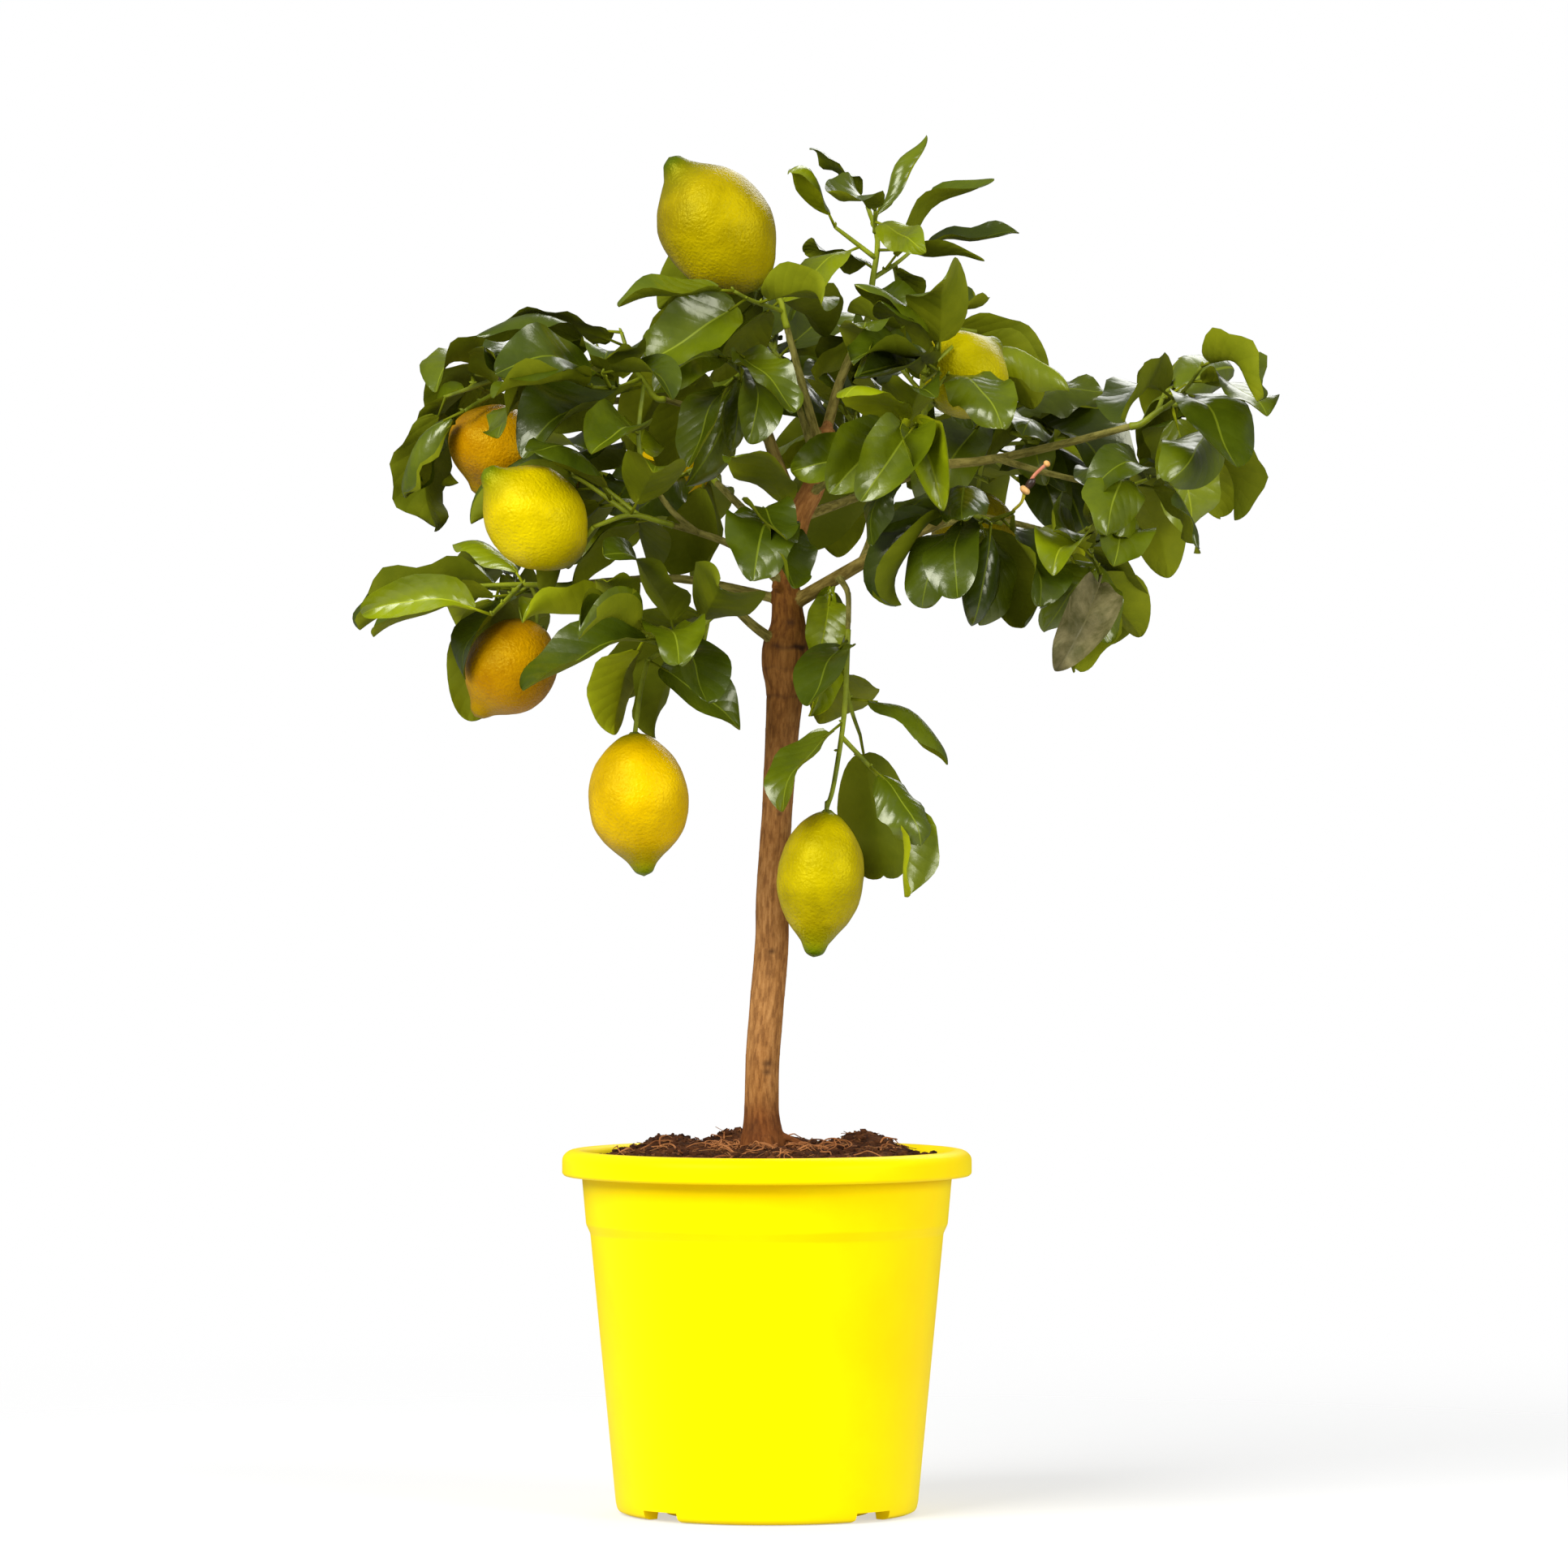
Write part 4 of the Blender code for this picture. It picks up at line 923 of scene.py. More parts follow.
# %% One skin
VOXEL = 0.00096
bm = fused([tube(name, limb.path, limb.radii, 16) for name, limb in wood_limbs.items()])
skin = bpy.data.objects.new("skin", mesh_of(bm, "skin"))
scene.collection.objects.link(skin)
remesh = skin.modifiers.new("One skin", "REMESH")
remesh.mode = "VOXEL"
remesh.voxel_size = VOXEL
remesh.use_smooth_shade = True
even = skin.modifiers.new("Even", "SMOOTH")
even.factor = 0.5
even.iterations = 5
wood_mesh = bpy.data.meshes.new_from_object(skin.evaluated_get(bpy.context.evaluated_depsgraph_get()))
bpy.data.objects.remove(skin, do_unlink=True)
print("wood skin", len(wood_mesh.polygons), "faces")


# %% Where each point is on its limb
def vectors_of(mesh, what):
    """The points or normals of a mesh as rows of three."""
    values = np.empty(len(mesh.vertices) * 3, np.float32)
    mesh.vertices.foreach_get(what, values)
    return values.reshape(-1, 3).astype(float)


samples = []
for name, limb in wood_limbs.items():
    run = run_of(limb.path)
    want = np.linspace(0, run[-1], max(3, int(run[-1] / 0.0015)))
    centres = np.stack([np.interp(want, run, limb.path[:, k]) for k in range(3)], 1)
    way = unit(limb.path[-1] - limb.path[0])
    side = unit(np.cross(way, [0.31, 0.95, 0.05]))
    across_it = np.concatenate([side, np.cross(way, side)])
    old = 1.0 if name[:4] in ("trun", "root", "stub") else 0.0
    for centre, radius, along in zip(centres, np.interp(want, run, limb.radii), want):
        age = max(old, min(1.0, max(0.0, (radius - 0.0026) / 0.0042)))
        samples.append((*centre, radius, along + 0.37 * len(name), *across_it, age))
samples = np.array(samples)
points = vectors_of(wood_mesh, "co")
normals = vectors_of(wood_mesh, "normal")
nearest = np.empty(len(points), int)
for first in range(0, len(points), 4000):
    part = points[first:first + 4000]
    gap = np.linalg.norm(part[:, None] - samples[None, :, :3], axis=2) - samples[:, 3]
    nearest[first:first + 4000] = gap.argmin(1)
at = samples[nearest]
offset = points - at[:, :3]
grain = np.column_stack([(offset * at[:, 5:8]).sum(1), (offset * at[:, 8:11]).sum(1), at[:, 4]])
age = at[:, 11]
print("grain found for", len(points), "points,", round(float((age > 0.99).mean()), 2), "of them old bark")

# %% [markdown]
# The bark has fine upright streaks and shallow swellings. Where the tree was grafted there is a collar with
# dark creases, and small dark scars show where early side shoots were rubbed off. The creases and scars
# are pressed into the skin and also kept as a "scar" value at each point, for the colour to follow.

# %% Bark relief
STREAK_DEPTH = 0.00017
SCAR_DEPTH = 0.0004
SOIL_CONTACT = 0.2102      # no wood below this height, where the compost hides it
# A crease is (height, half its width, depth) and a scar (x, height, size), in millimetres
CREASES = [(506.5, 1.5, 1.0), (477.5, 1.1, 0.45), (494, 0.9, 0.35), (229, 9, 0.3), (562, 1.2, 0.4)]
SCARS = [(0.5, 263, 3.2), (0.0, 258, 2.6), (3.0, 328.6, 2.2), (7.5, 409, 1.5), (14, 521, 3.0)]
relief = np.empty(len(points))
scar = np.zeros(len(points))
for index, ((x, y, z), (at_x, at_y, at_z)) in enumerate(zip(grain, points / MM)):
    streak = noise.noise(Vector((x * 520, y * 520, z * 34)))
    ridge = noise.noise(Vector((x * 900 + 7, y * 900, z * 70)))
    lump = noise.noise(Vector((x * 90, y * 90, z * 60 + 3)))
    relief[index] = 0.5 * -abs(streak) + 0.25 * ridge + 0.7 * lump
    if abs(at_x - 5) < 24 and at_z < 570 and age[index] > 0.99:
        wander = at_z + 1.8 * noise.noise(Vector((at_x * 0.11, at_y * 0.11, 4)))
        worn = 0.7 + 1.7 * noise.noise(Vector((x * 90, y * 90, at_z * 0.1)))
        for height, width, deep in CREASES:
            scar[index] += worn * deep * math.exp(-((wander - height) / width) ** 2)
        for scar_x, scar_z, size in SCARS:
            if at_y < 0:
                away = (at_x - scar_x) ** 2 + ((at_z - scar_z) * 1.5) ** 2
                scar[index] += 0.8 * math.exp(-away / size**2)
scar = np.clip(scar, 0, 1)
points += normals * (relief * STREAK_DEPTH * (0.35 + 0.9 * age) - scar * SCAR_DEPTH)[:, None]
points[:, 2] = np.maximum(points[:, 2], SOIL_CONTACT)
wood_mesh.vertices.foreach_set("co", points.astype(np.float32).ravel())
for name, values in (("age", age), ("scar", scar)):
    wood_mesh.attributes.new(name, "FLOAT", "POINT").data.foreach_set("value", values.astype(np.float32))
grain_kept = wood_mesh.attributes.new("grain", "FLOAT_VECTOR", "POINT")
grain_kept.data.foreach_set("vector", grain.astype(np.float32).ravel())
wood_mesh.shade_smooth()

# %% [markdown]
# The old bark is tan with darker streaks and patches. It is dark where it leaves the damp compost and goes
# redder above the graft, so its tone follows the height. Young wood is still olive green: one streaked
# noise feeds two ramps of colour, and the age of the limb mixes them.


# %% Bark finish
def mixed(look, factor, start, end, kind="MIX"):
    """The colour between two sockets or plain colours, by a factor's socket."""
    mix = add_node(look, "ShaderNodeMix", {"data_type": "RGBA", "blend_type": kind})
    wire(look, factor, mix.inputs["Factor"])
    for slot, colour in (("A", start), ("B", end)):
        if isinstance(colour, tuple):
            mix.inputs[slot].default_value = (*colour, 1)
        else:
            wire(look, colour, mix.inputs[slot])
    return mix.outputs["Result"]


bark = finish("bark", [(0.22, 0.093, 0.026), (0.34, 0.155, 0.044), (0.45, 0.22, 0.070)], 470, 0.8,
              (950, 0.5, 0.0005), stretch=(1, 1, 0.24), grain="grain", specular=0.12)
nodes = bark.node_tree.nodes
surface = nodes["Principled BSDF"]
old_bark = nodes["Color Ramp"].outputs["Color"]
young_bark = add_node(bark, "ShaderNodeValToRGB")
wire(bark, nodes["Noise Texture"].outputs["Fac"], young_bark.inputs["Fac"])
for step, at_share, tone in zip(young_bark.color_ramp.elements, (0.38, 0.62),
                                ((0.125, 0.112, 0.018), (0.30, 0.265, 0.062))):
    step.position = at_share
    step.color = (*tone, 1)
age_value = add_node(bark, "ShaderNodeAttribute", {"attribute_name": "age"}).outputs["Fac"]
scar_value = add_node(bark, "ShaderNodeAttribute", {"attribute_name": "scar"}).outputs["Fac"]
level = add_node(bark, "ShaderNodeSeparateXYZ")
wire(bark, add_node(bark, "ShaderNodeTexCoord").outputs["Object"], level.inputs["Vector"])
shade = add_node(bark, "ShaderNodeValToRGB")
SHADES = [(0.222, (0.52, 0.38, 0.30)), (0.232, (0.66, 0.50, 0.40)), (0.244, (1, 1, 1)), (0.40, (1, 1, 1)),
          (0.53, (0.54, 0.46, 0.24)), (0.575, (0.72, 0.66, 0.46)), (0.60, (1, 1, 1))]
while len(shade.color_ramp.elements) < len(SHADES):
    shade.color_ramp.elements.new(0.9)
for step, (height, tone) in zip(shade.color_ramp.elements, SHADES):
    step.position = height
    step.color = (*tone, 1)
wire(bark, level.outputs["Z"], shade.inputs["Fac"])
patches = add_node(bark, "ShaderNodeTexNoise", inputs={"Scale": 38, "Detail": 3})
worn_patches = add_node(bark, "ShaderNodeMapRange", inputs={"From Min": 0.40, "From Max": 0.66})
wire(bark, nodes["Mapping"].outputs["Vector"], patches.inputs["Vector"])
wire(bark, patches.outputs["Fac"], worn_patches.inputs["Value"])
full = add_node(bark, "ShaderNodeMix", {"data_type": "RGBA", "blend_type": "MULTIPLY"}, {"Factor": 1.0})
wire(bark, old_bark, full.inputs["A"])
wire(bark, shade.outputs["Color"], full.inputs["B"])
rubbed = mixed(bark, worn_patches.outputs["Result"], full.outputs["Result"], (0.76, 0.66, 0.50), "MULTIPLY")
aged = mixed(bark, age_value, young_bark.outputs["Color"], rubbed)
scarred = mixed(bark, scar_value, aged, (0.05, 0.02, 0.008))
wire(bark, scarred, surface.inputs["Base Color"])
piece("wood", wood_mesh, [bark], ["trunk", *("bough_" + name for name in BOUGHS)])

# %% [markdown]
# Fine roots come up out of the compost round the foot of the trunk. Each is a thin tube on a line that
# wanders over the bed, rises out of it in the middle and goes back in at both ends.

# %% Root threads
rng = random.Random(21)
threads = []
for index in range(110):
    heading = rng.uniform(0, 2 * math.pi)
    out = rng.uniform(13, 34) if index < 60 else rng.uniform(18, 92)
    x, y = out * math.cos(heading), out * math.sin(heading)
    line = []
    steps = rng.randint(4, 7)
    rise = rng.uniform(1.5, 4.5)
    for k in range(steps):
        arch = rise * math.sin(math.pi * k / (steps - 1)) + rng.uniform(-0.4, 0.8)
        line.append(np.array([x, y, soil_level(x, y) + arch]) * MM)
        heading += rng.gauss(0, 1.1)
        step = rng.uniform(3.0, 6.5)
        x += step * math.cos(heading)
        y += step * math.sin(heading)
        if math.hypot(x, y) > 96:
            break
    if len(line) > 2:
        path = smooth_path(line, 3)
        threads.append(tube("thread", path, np.linspace(rng.uniform(0.35, 0.75), 0.25, len(path)) * MM, 6))
thread_tan = finish("root threads", [(0.18, 0.060, 0.018), (0.42, 0.17, 0.055)], 90, 0.8, specular=0.1)
piece("root_threads", mesh_of(fused(threads), "root threads"), [thread_tan])

# %% [markdown]
# ## Twigs
# Green twigs carry the leaves. Each is a thin tapering tube on a smooth curve, and a small bud sits where
# a leaf joins it. The stems of the masses grow on from the boughs' tips, so they start as thick as those.
# One spot on the right is kept open for the spent flower, so a leaf that would hide it is left off.

# %% Room for the flower
FLOWER_FOOT = np.array([142, -79, 584]) * MM
FLOWER_CUP = np.array([148.5, -86, 595.5]) * MM
FLOWER_KNOB = np.array([161, -90, 610.5]) * MM


def hides_flower(leaf):
    """Whether a leaf stands before the flower's cup."""
    points = leaf_points(leaf, PROBE_S, PROBE_T)
    near = np.hypot(points[:, 0] - FLOWER_CUP[0], points[:, 2] - FLOWER_CUP[2]) < 0.010
    return bool((near & (points[:, 1] < FLOWER_CUP[1] + 0.004)).any())


# %% [markdown]
# The rule doesn't know each leaf of this one tree. Two leaves that would cover open sky are left off, and
# the leaf at the far left is a narrow one. A drape of pale leaves hangs beside the fork, and a broad leaf
# spreads over the lowest lemon on the left, so these are set one by one on two short twigs.


# %% Leaves set one by one
def own_leaf(root, heading, face, length, width, bend, tone):
    """A leaf in the rule's form, from its root and sizes in millimetres and rough directions."""
    heading = unit(np.array(heading))
    face = unit(np.array(face) - heading * (np.array(face) @ heading))
    return Leaf(np.array(root) * MM, heading, face, length * 0.14 * MM, length * MM, width * MM, bend, 0.5,
                0.2, 0.06, tone)


OVER_SKY = {(2, 1), (57, 0)}       # (spray, leaf) in the order of growth
narrow_leaf = sprays[29][2][0]
pale_leaves = [own_leaf((38, -13, 546), (-0.3, -0.3, -1.04), (0.1, -0.9, 0.3), 32, 20, 0.8, 0.31),
               own_leaf((37, -14, 538), (-0.1, -0.75, -0.8), (0.0, -1.0, 0.1), 42, 25, 0.6, 0.74),
               own_leaf((38, -12, 524), (-0.06, -0.3, -0.95), (0.3, -0.9, 0.1), 54, 23, 0.5, 0.58)]
back_leaf = own_leaf((40, -12, 546), (-0.15, 0.65, -0.85), (0.0, -1.0, 0.1), 62, 28, 0.5, 0.12)
broad_leaf = own_leaf((-69, -56, 498), (1.08, -0.4, -0.55), (-0.2, -0.75, 0.65), 60, 38, 0.6, 0.46)
drape = Limb(np.array([(39.3, -12.5, 546.1), (38, -13, 536), (38, -12, 524)]) * MM,
             np.array([1.5, 1.2, 1.0]) * MM)
knot = Limb(np.array([(-66, -54.8, 500), (-67.5, -55.4, 499), (-69, -56, 498)]) * MM, np.full(3, 1.2 * MM))
kept = []
for number, (name, twig, leaves) in enumerate(sprays):
    stay = [leaf for k, leaf in enumerate(leaves) if (number, k) not in OVER_SKY and not hides_flower(leaf)]
    kept.append((name, twig, stay))
before = sum(len(leaves) for _, _, leaves in sprays)
print("leaves left off for sky and flower", before - sum(len(leaves) for _, _, leaves in kept))
sprays = [*kept, ("hanging", drape, [*pale_leaves, back_leaf]), ("low_left", knot, [broad_leaf])]

# %% The lemons' places
fruits = {name: lemon_of(name) for name in LEMONS}
LEAN = np.array([-5, 0, -3]) * MM      # the top lemon rests a little lower on its leaves than its twig ends
fruits["top_left"] = fruits["top_left"]._replace(stalk=fruits["top_left"].stalk + LEAN)
print("lemons", len(fruits), "of", [round(fruit.radius / MM * 2) for fruit in fruits.values()], "mm across")


def in_lemon(points):
    """Whether any of the points is inside a lemon."""
    for fruit in fruits.values():
        away = points - fruit.stalk
        share = away @ fruit.axis / fruit.length
        out = np.linalg.norm(away - (away @ fruit.axis)[:, None] * fruit.axis, axis=1)
        if ((share > 0.02) & (share < 1) & (out < fruit.radius * lemon_profile(np.clip(share, 0, 1)))).any():
            return True
    return False


# %% Twigs and buds
BUD = (0.0009, 0.0009, 0.0020)      # half the size of a bud
tubes = []
for name, (path, radii), _ in sprays:
    if abs(path[0] - limbs[name].path[-1]).max() < 0.001:
        path = np.vstack([limbs[name].path[-1] - unit(path[1] - path[0]) * 0.003, path[1:]])
        radii = np.linspace(limbs[name].radii[-1] * 1.02, 0.0012, len(path))
    smooth = finer(Limb(path, radii * 1.08), 4)
    tubes.append(tube("twig", smooth.path, smooth.radii, 8))
bm = fused(tubes)
for _, _, leaves in sprays:
    for leaf in leaves:
        way = Vector(unit(leaf.heading + leaf.face * 0.9))
        turn = Vector((0, 0, 1)).rotation_difference(way).to_matrix().to_4x4()
        place = Matrix.Translation(Vector(leaf.root + leaf.face * 0.0012 + leaf.heading * 0.0008))
        shape = Matrix.Diagonal((*BUD, 1))
        bmesh.ops.create_icosphere(bm, subdivisions=1, radius=1, matrix=place @ turn @ shape)
twig_green = finish("green twigs", [(0.12, 0.15, 0.006), (0.30, 0.35, 0.010)], 45, 0.5, (500, 0.3, 0.0004),
                    specular=0.25)
piece("twigs", mesh_of(bm, "twigs"), [twig_green])

# %% [markdown]
# ## Leaves
# A lemon leaf is a firm blade folded a little along a paler rib, glossy above and dull below, with a wavy
# edge and a blunt tip that curls. One flat pattern is made from a grid: a narrow column for the rib, wider
# ones for the blade, a second layer below, joined at the edge. For each leaf the pattern is laid on the
# curved surface that the growth rule gives that leaf, and bent and rippled a little more by the leaf's own
# number. Above and below are separate faces with finishes of their own, and the tone is dealt to each
# spray, as whole shoots are young or old together.

# %% Leaf pattern
ACROSS = [-1.0, -0.86, -0.6, -0.28, -0.03, 0.03, 0.28, 0.6, 0.86, 1.0]
ALONG = [0.012, 0.04, 0.085, 0.14, 0.21, 0.29, 0.38, 0.47, 0.56, 0.64, 0.72, 0.79, 0.85, 0.90, 0.94, 0.968,
         0.986, 0.996, 1.0]
RIB_COLUMN = 0.03


def leaf_pattern():
    """The flat leaf: x across, y along, z the layer, 0 above and -1 below."""
    bm = bmesh.new()
    bmesh.ops.create_grid(bm, x_segments=len(ACROSS) - 1, y_segments=len(ALONG) - 1, size=1)
    for vert in bm.verts:
        column = round((vert.co.x + 1) / 2 * (len(ACROSS) - 1))
        row = round((vert.co.y + 1) / 2 * (len(ALONG) - 1))
        vert.co = (ACROSS[column], ALONG[row], 0)
    below = bmesh.ops.duplicate(bm, geom=bm.verts[:] + bm.edges[:] + bm.faces[:])["geom"]
    faces = [item for item in below if isinstance(item, bmesh.types.BMFace)]
    bmesh.ops.reverse_faces(bm, faces=faces)
    for item in below:
        if isinstance(item, bmesh.types.BMVert) and abs(item.co.x) < 1 and item.co.y < 1:
            item.co.z = -1
    for face in faces:
        face.material_index = 1
    bmesh.ops.remove_doubles(bm, verts=bm.verts, dist=1e-5)
    bmesh.ops.pointmerge(bm, verts=[v for v in bm.verts if v.co.y > 0.999], merge_co=(0, 1, 0))
    for face in bm.faces:
        face.smooth = True
        if face.material_index == 0 and max(abs(v.co.x) for v in face.verts) <= RIB_COLUMN + 1e-6:
            face.material_index = 2
    for edge in bm.edges:
        edge.smooth = len({face.material_index == 1 for face in edge.link_faces}) == 1
    mesh = bpy.data.meshes.new("leaf pattern")
    bm.to_mesh(mesh)
    bm.free()
    return mesh


pattern = leaf_pattern()
flat = vectors_of(pattern, "co")
print("leaf pattern", len(pattern.polygons), "faces")

# %% Laying the pattern on a leaf
BLADE_THICK = 0.0005
RIB_THICK = 0.0004      # how much the rib adds below the blade


def laid(leaf, rng, manner):
    """Where the pattern's points go: the rule's surface with the leaf's own outline, folds and ripples."""
    across, along, layer = flat.T
    inner = np.sin(np.pi * along)
    wide, long, blunt = rng.uniform(0.93, 1.08), 1.0, rng.uniform(0.42, 0.62)
    deep, waves = rng.uniform(0.03, 0.10), rng.uniform(1.3, 3.0)
    if manner == "calm":
        wide, deep = 0.92, 0.02
    if manner == "slender":
        wide, long, blunt = rng.uniform(0.72, 0.88), rng.uniform(1.0, 1.14), rng.uniform(0.55, 0.70)
    if manner == "withered":
        wide, long, deep, waves = 1.4, 1.35, 0.15, 2.4
    leaf = leaf._replace(width=leaf.width * wide, length=leaf.length * long)
    if rng.random() < 0.33 and manner != "calm":
        leaf = leaf._replace(cup=math.copysign(min(1.7, abs(leaf.cup) * 2.8), leaf.cup))
    if rng.random() < 0.3 and manner != "calm":
        leaf = leaf._replace(twist=leaf.twist * 2.2)
    shape = np.sin(np.pi * along ** rng.uniform(0.88, 1.10)) ** blunt
    spread = across * shape / np.maximum(outline(along), 0.02)
    # a fold along the rib, then one half of the blade curled up or down
    lift = leaf.width / 2 * rng.uniform(0.0, 0.35) * math.copysign(1, leaf.cup) * np.abs(spread) * inner
    curled = np.where(across * rng.choice([-1, 1]) > 0, rng.uniform(-0.5, 0.9), 0.0)
    lift += leaf.width / 2 * curled * np.clip(np.abs(spread) - 0.3, 0, 1) ** 2 * inner
    # waves along the edge, and a slower one along the whole leaf
    start = np.where(across > 0, rng.uniform(0, 6.3), rng.uniform(0, 6.3))
    wave = np.sin(2 * np.pi * waves * along + start)
    lift += leaf.width * deep * np.abs(spread) ** 2.5 * wave * inner**0.5
    sway = 0.045 if manner == "slender" else 0.028
    lift += leaf.length * sway * np.sin(2 * np.pi * 1.2 * along + rng.uniform(0, 6.3)) * inner**0.7
    # the tip turned down or up, and a groove over the rib
    lift -= leaf.length * rng.uniform(-0.5, 0.9) * np.clip(along - 0.6, 0, 1) ** 2
    lift -= leaf.width * 0.03 * np.exp(-(across / 0.1) ** 2) * (1 - along) ** 0.5
    if manner == "withered":
        lift += leaf.width * 0.07 * np.sin(6.5 * spread + 1) * np.sin(11 * along + 2) * inner
    lift += layer * (BLADE_THICK + RIB_THICK * np.exp(-(across / 0.08) ** 2) * (1 - along))
    return leaf_points(leaf, along, spread, lift)


PETIOLE = (0.0010, 0.0007)      # its radius at the twig and under the blade


def petiole(bm, leaf, index):
    """The short stalk between the twig and the blade, a thin cone that runs on under the blade."""
    start = Vector(leaf.root)
    end = Vector(leaf_points(leaf, 0.1, 0.0, -0.0006))
    way = end - start
    turn = Vector((0, 0, 1)).rotation_difference(way).to_matrix().to_4x4()
    thick, thin = PETIOLE
    grown = bmesh.ops.create_cone(bm, cap_ends=True, segments=6, radius1=thick, radius2=thin,
                                  depth=way.length, matrix=Matrix.Translation((start + end) / 2) @ turn)
    for face in {face for vert in grown["verts"] for face in vert.link_faces}:
        face.material_index = index
        face.smooth = True


# %% Leaf tones
# Tone: the two colours above, the two below and the colour of the rib
LEAF_TONES = {
    "dark": ((0.032, 0.050, 0.0008), (0.060, 0.084, 0.0012), (0.100, 0.122, 0.002), (0.140, 0.160, 0.004),
             (0.125, 0.160, 0.005)),
    "mid": ((0.066, 0.093, 0.0010), (0.115, 0.148, 0.0015), (0.140, 0.165, 0.003), (0.20, 0.222, 0.005),
            (0.19, 0.235, 0.01)),
    "young": ((0.16, 0.205, 0.0015), (0.25, 0.30, 0.002), (0.24, 0.275, 0.003), (0.33, 0.365, 0.005),
              (0.33, 0.385, 0.012)),
    "dull": ((0.075, 0.070, 0.018), (0.18, 0.155, 0.065), (0.11, 0.10, 0.035), (0.17, 0.15, 0.065),
             (0.14, 0.125, 0.045)),
}


VEIN_SLANT = -0.24
VEIN_SPACING = 25.0     # radians of the veins' wave along a whole leaf
VEIN_DEPTH = 0.0005


def with_veins(look):
    """Adds the side veins to a leaf's relief. They leave the rib and slant towards the tip."""
    surface = look.node_tree.nodes["Principled BSDF"]
    place = add_node(look, "ShaderNodeSeparateXYZ")
    wire(look, add_node(look, "ShaderNodeAttribute", {"attribute_name": "blade"}).outputs["Vector"],
         place.inputs["Vector"])
    slant = add_node(look, "ShaderNodeMath", {"operation": "MULTIPLY_ADD"}, {1: VEIN_SLANT})
    wire(look, place.outputs["Y"], slant.inputs[0])
    wire(look, place.outputs["X"], slant.inputs[2])
    value = slant.outputs["Value"]
    for operation, number in (("MULTIPLY", VEIN_SPACING), ("SINE", 0), ("ABSOLUTE", 0)):
        step = add_node(look, "ShaderNodeMath", {"operation": operation}, {1: number})
        wire(look, value, step.inputs[0])
        value = step.outputs["Value"]
    relief = add_node(look, "ShaderNodeBump", inputs={"Strength": 0.32, "Distance": VEIN_DEPTH})
    wire(look, value, relief.inputs["Height"])
    wire(look, look.node_tree.nodes["Bump"].outputs["Normal"], relief.inputs["Normal"])
    wire(look, relief.outputs["Normal"], surface.inputs["Normal"])
    return look


leaf_looks = []
for tone, (above, above_lit, below, below_lit, rib) in LEAF_TONES.items():
    if tone == "dull":
        upper = finish(f"{tone} leaf above", [above, above_lit], 90, 0.6, (120, 1.0, 0.0016), specular=0.3,
                       shine=(1.0, 1.0, 0.8))
    else:
        upper = finish(f"{tone} leaf above", [above, above_lit], 26, 0.28, (260, 0.35, 0.0006), coat=0.1,
                       specular=0.75, shine=(1.0, 1.0, 0.8))
    upper = with_veins(upper)
    lower = with_veins(finish(f"{tone} leaf below", [below, below_lit], 30, 0.65, (300, 0.3, 0.0005),
                              specular=0.12, shine=(1.0, 1.0, 0.6)))
    leaf_looks += [upper, lower, finish(f"{tone} leaf rib", [rib], 30, 0.45, specular=0.25)]

# %% Sewing the crown
WITHERED = np.array([187, -100, 530]) * MM      # the leaf nearest to this place is drying out
withered = min((leaf for _, _, leaves in sprays for leaf in leaves),
               key=lambda leaf: np.linalg.norm(leaf_points(leaf, 0.5, 0.0) - WITHERED))


def tone_of(name, spray, leaf, rng):
    """The tone of a leaf: mostly its spray's, now and then one step off."""
    step = rng.random()
    if leaf is withered:
        return "dull"
    if any(leaf is pale for pale in pale_leaves):
        return "young"
    if name in ("top", "shoot") and step < 0.45:
        return "young"
    if spray < 0.50:
        return "dark" if step < 0.78 else "mid"
    if spray < 0.86:
        return "mid" if step < 0.72 else "dark"
    return "young" if step < 0.6 else "mid"


rng = random.Random(11)
left_off = 0
bm = bmesh.new()
bm.verts.layers.float_vector.new("blade")
for name, _, leaves in sprays:
    spray = rng.random()
    for leaf in leaves:
        look = tone_of(name, spray, leaf, rng)
        tone = list(LEAF_TONES).index(look) * 3
        one = bmesh.new()
        one.from_mesh(pattern)
        blade = one.verts.layers.float_vector.new("blade")
        manner = "withered" if leaf is withered else "plain"
        if name == "top" or leaf is narrow_leaf:
            manner = "slender"
        spots = laid(leaf, random.Random(int(leaf.tone * 1e6)), manner)
        if in_lemon(spots):
            spots = laid(leaf, random.Random(int(leaf.tone * 1e6)), "calm")
            if in_lemon(spots):
                left_off += 1
                one.free()
                continue
        for vert, spot in zip(one.verts, spots):
            vert[blade] = (vert.co.y, abs(vert.co.x), 0)
            vert.co = spot
        for face in one.faces:
            face.material_index += tone
        petiole(one, leaf, tone + 1)
        mesh = bpy.data.meshes.new("leaf")
        one.to_mesh(mesh)
        one.free()
        bm.from_mesh(mesh)
        bpy.data.meshes.remove(mesh)
mesh = bpy.data.meshes.new("leaves")
bm.to_mesh(mesh)
bm.free()
print("leaves left off for a lemon", left_off)
piece("leaves", mesh, leaf_looks, ["foliage_" + name for name in MASSES])
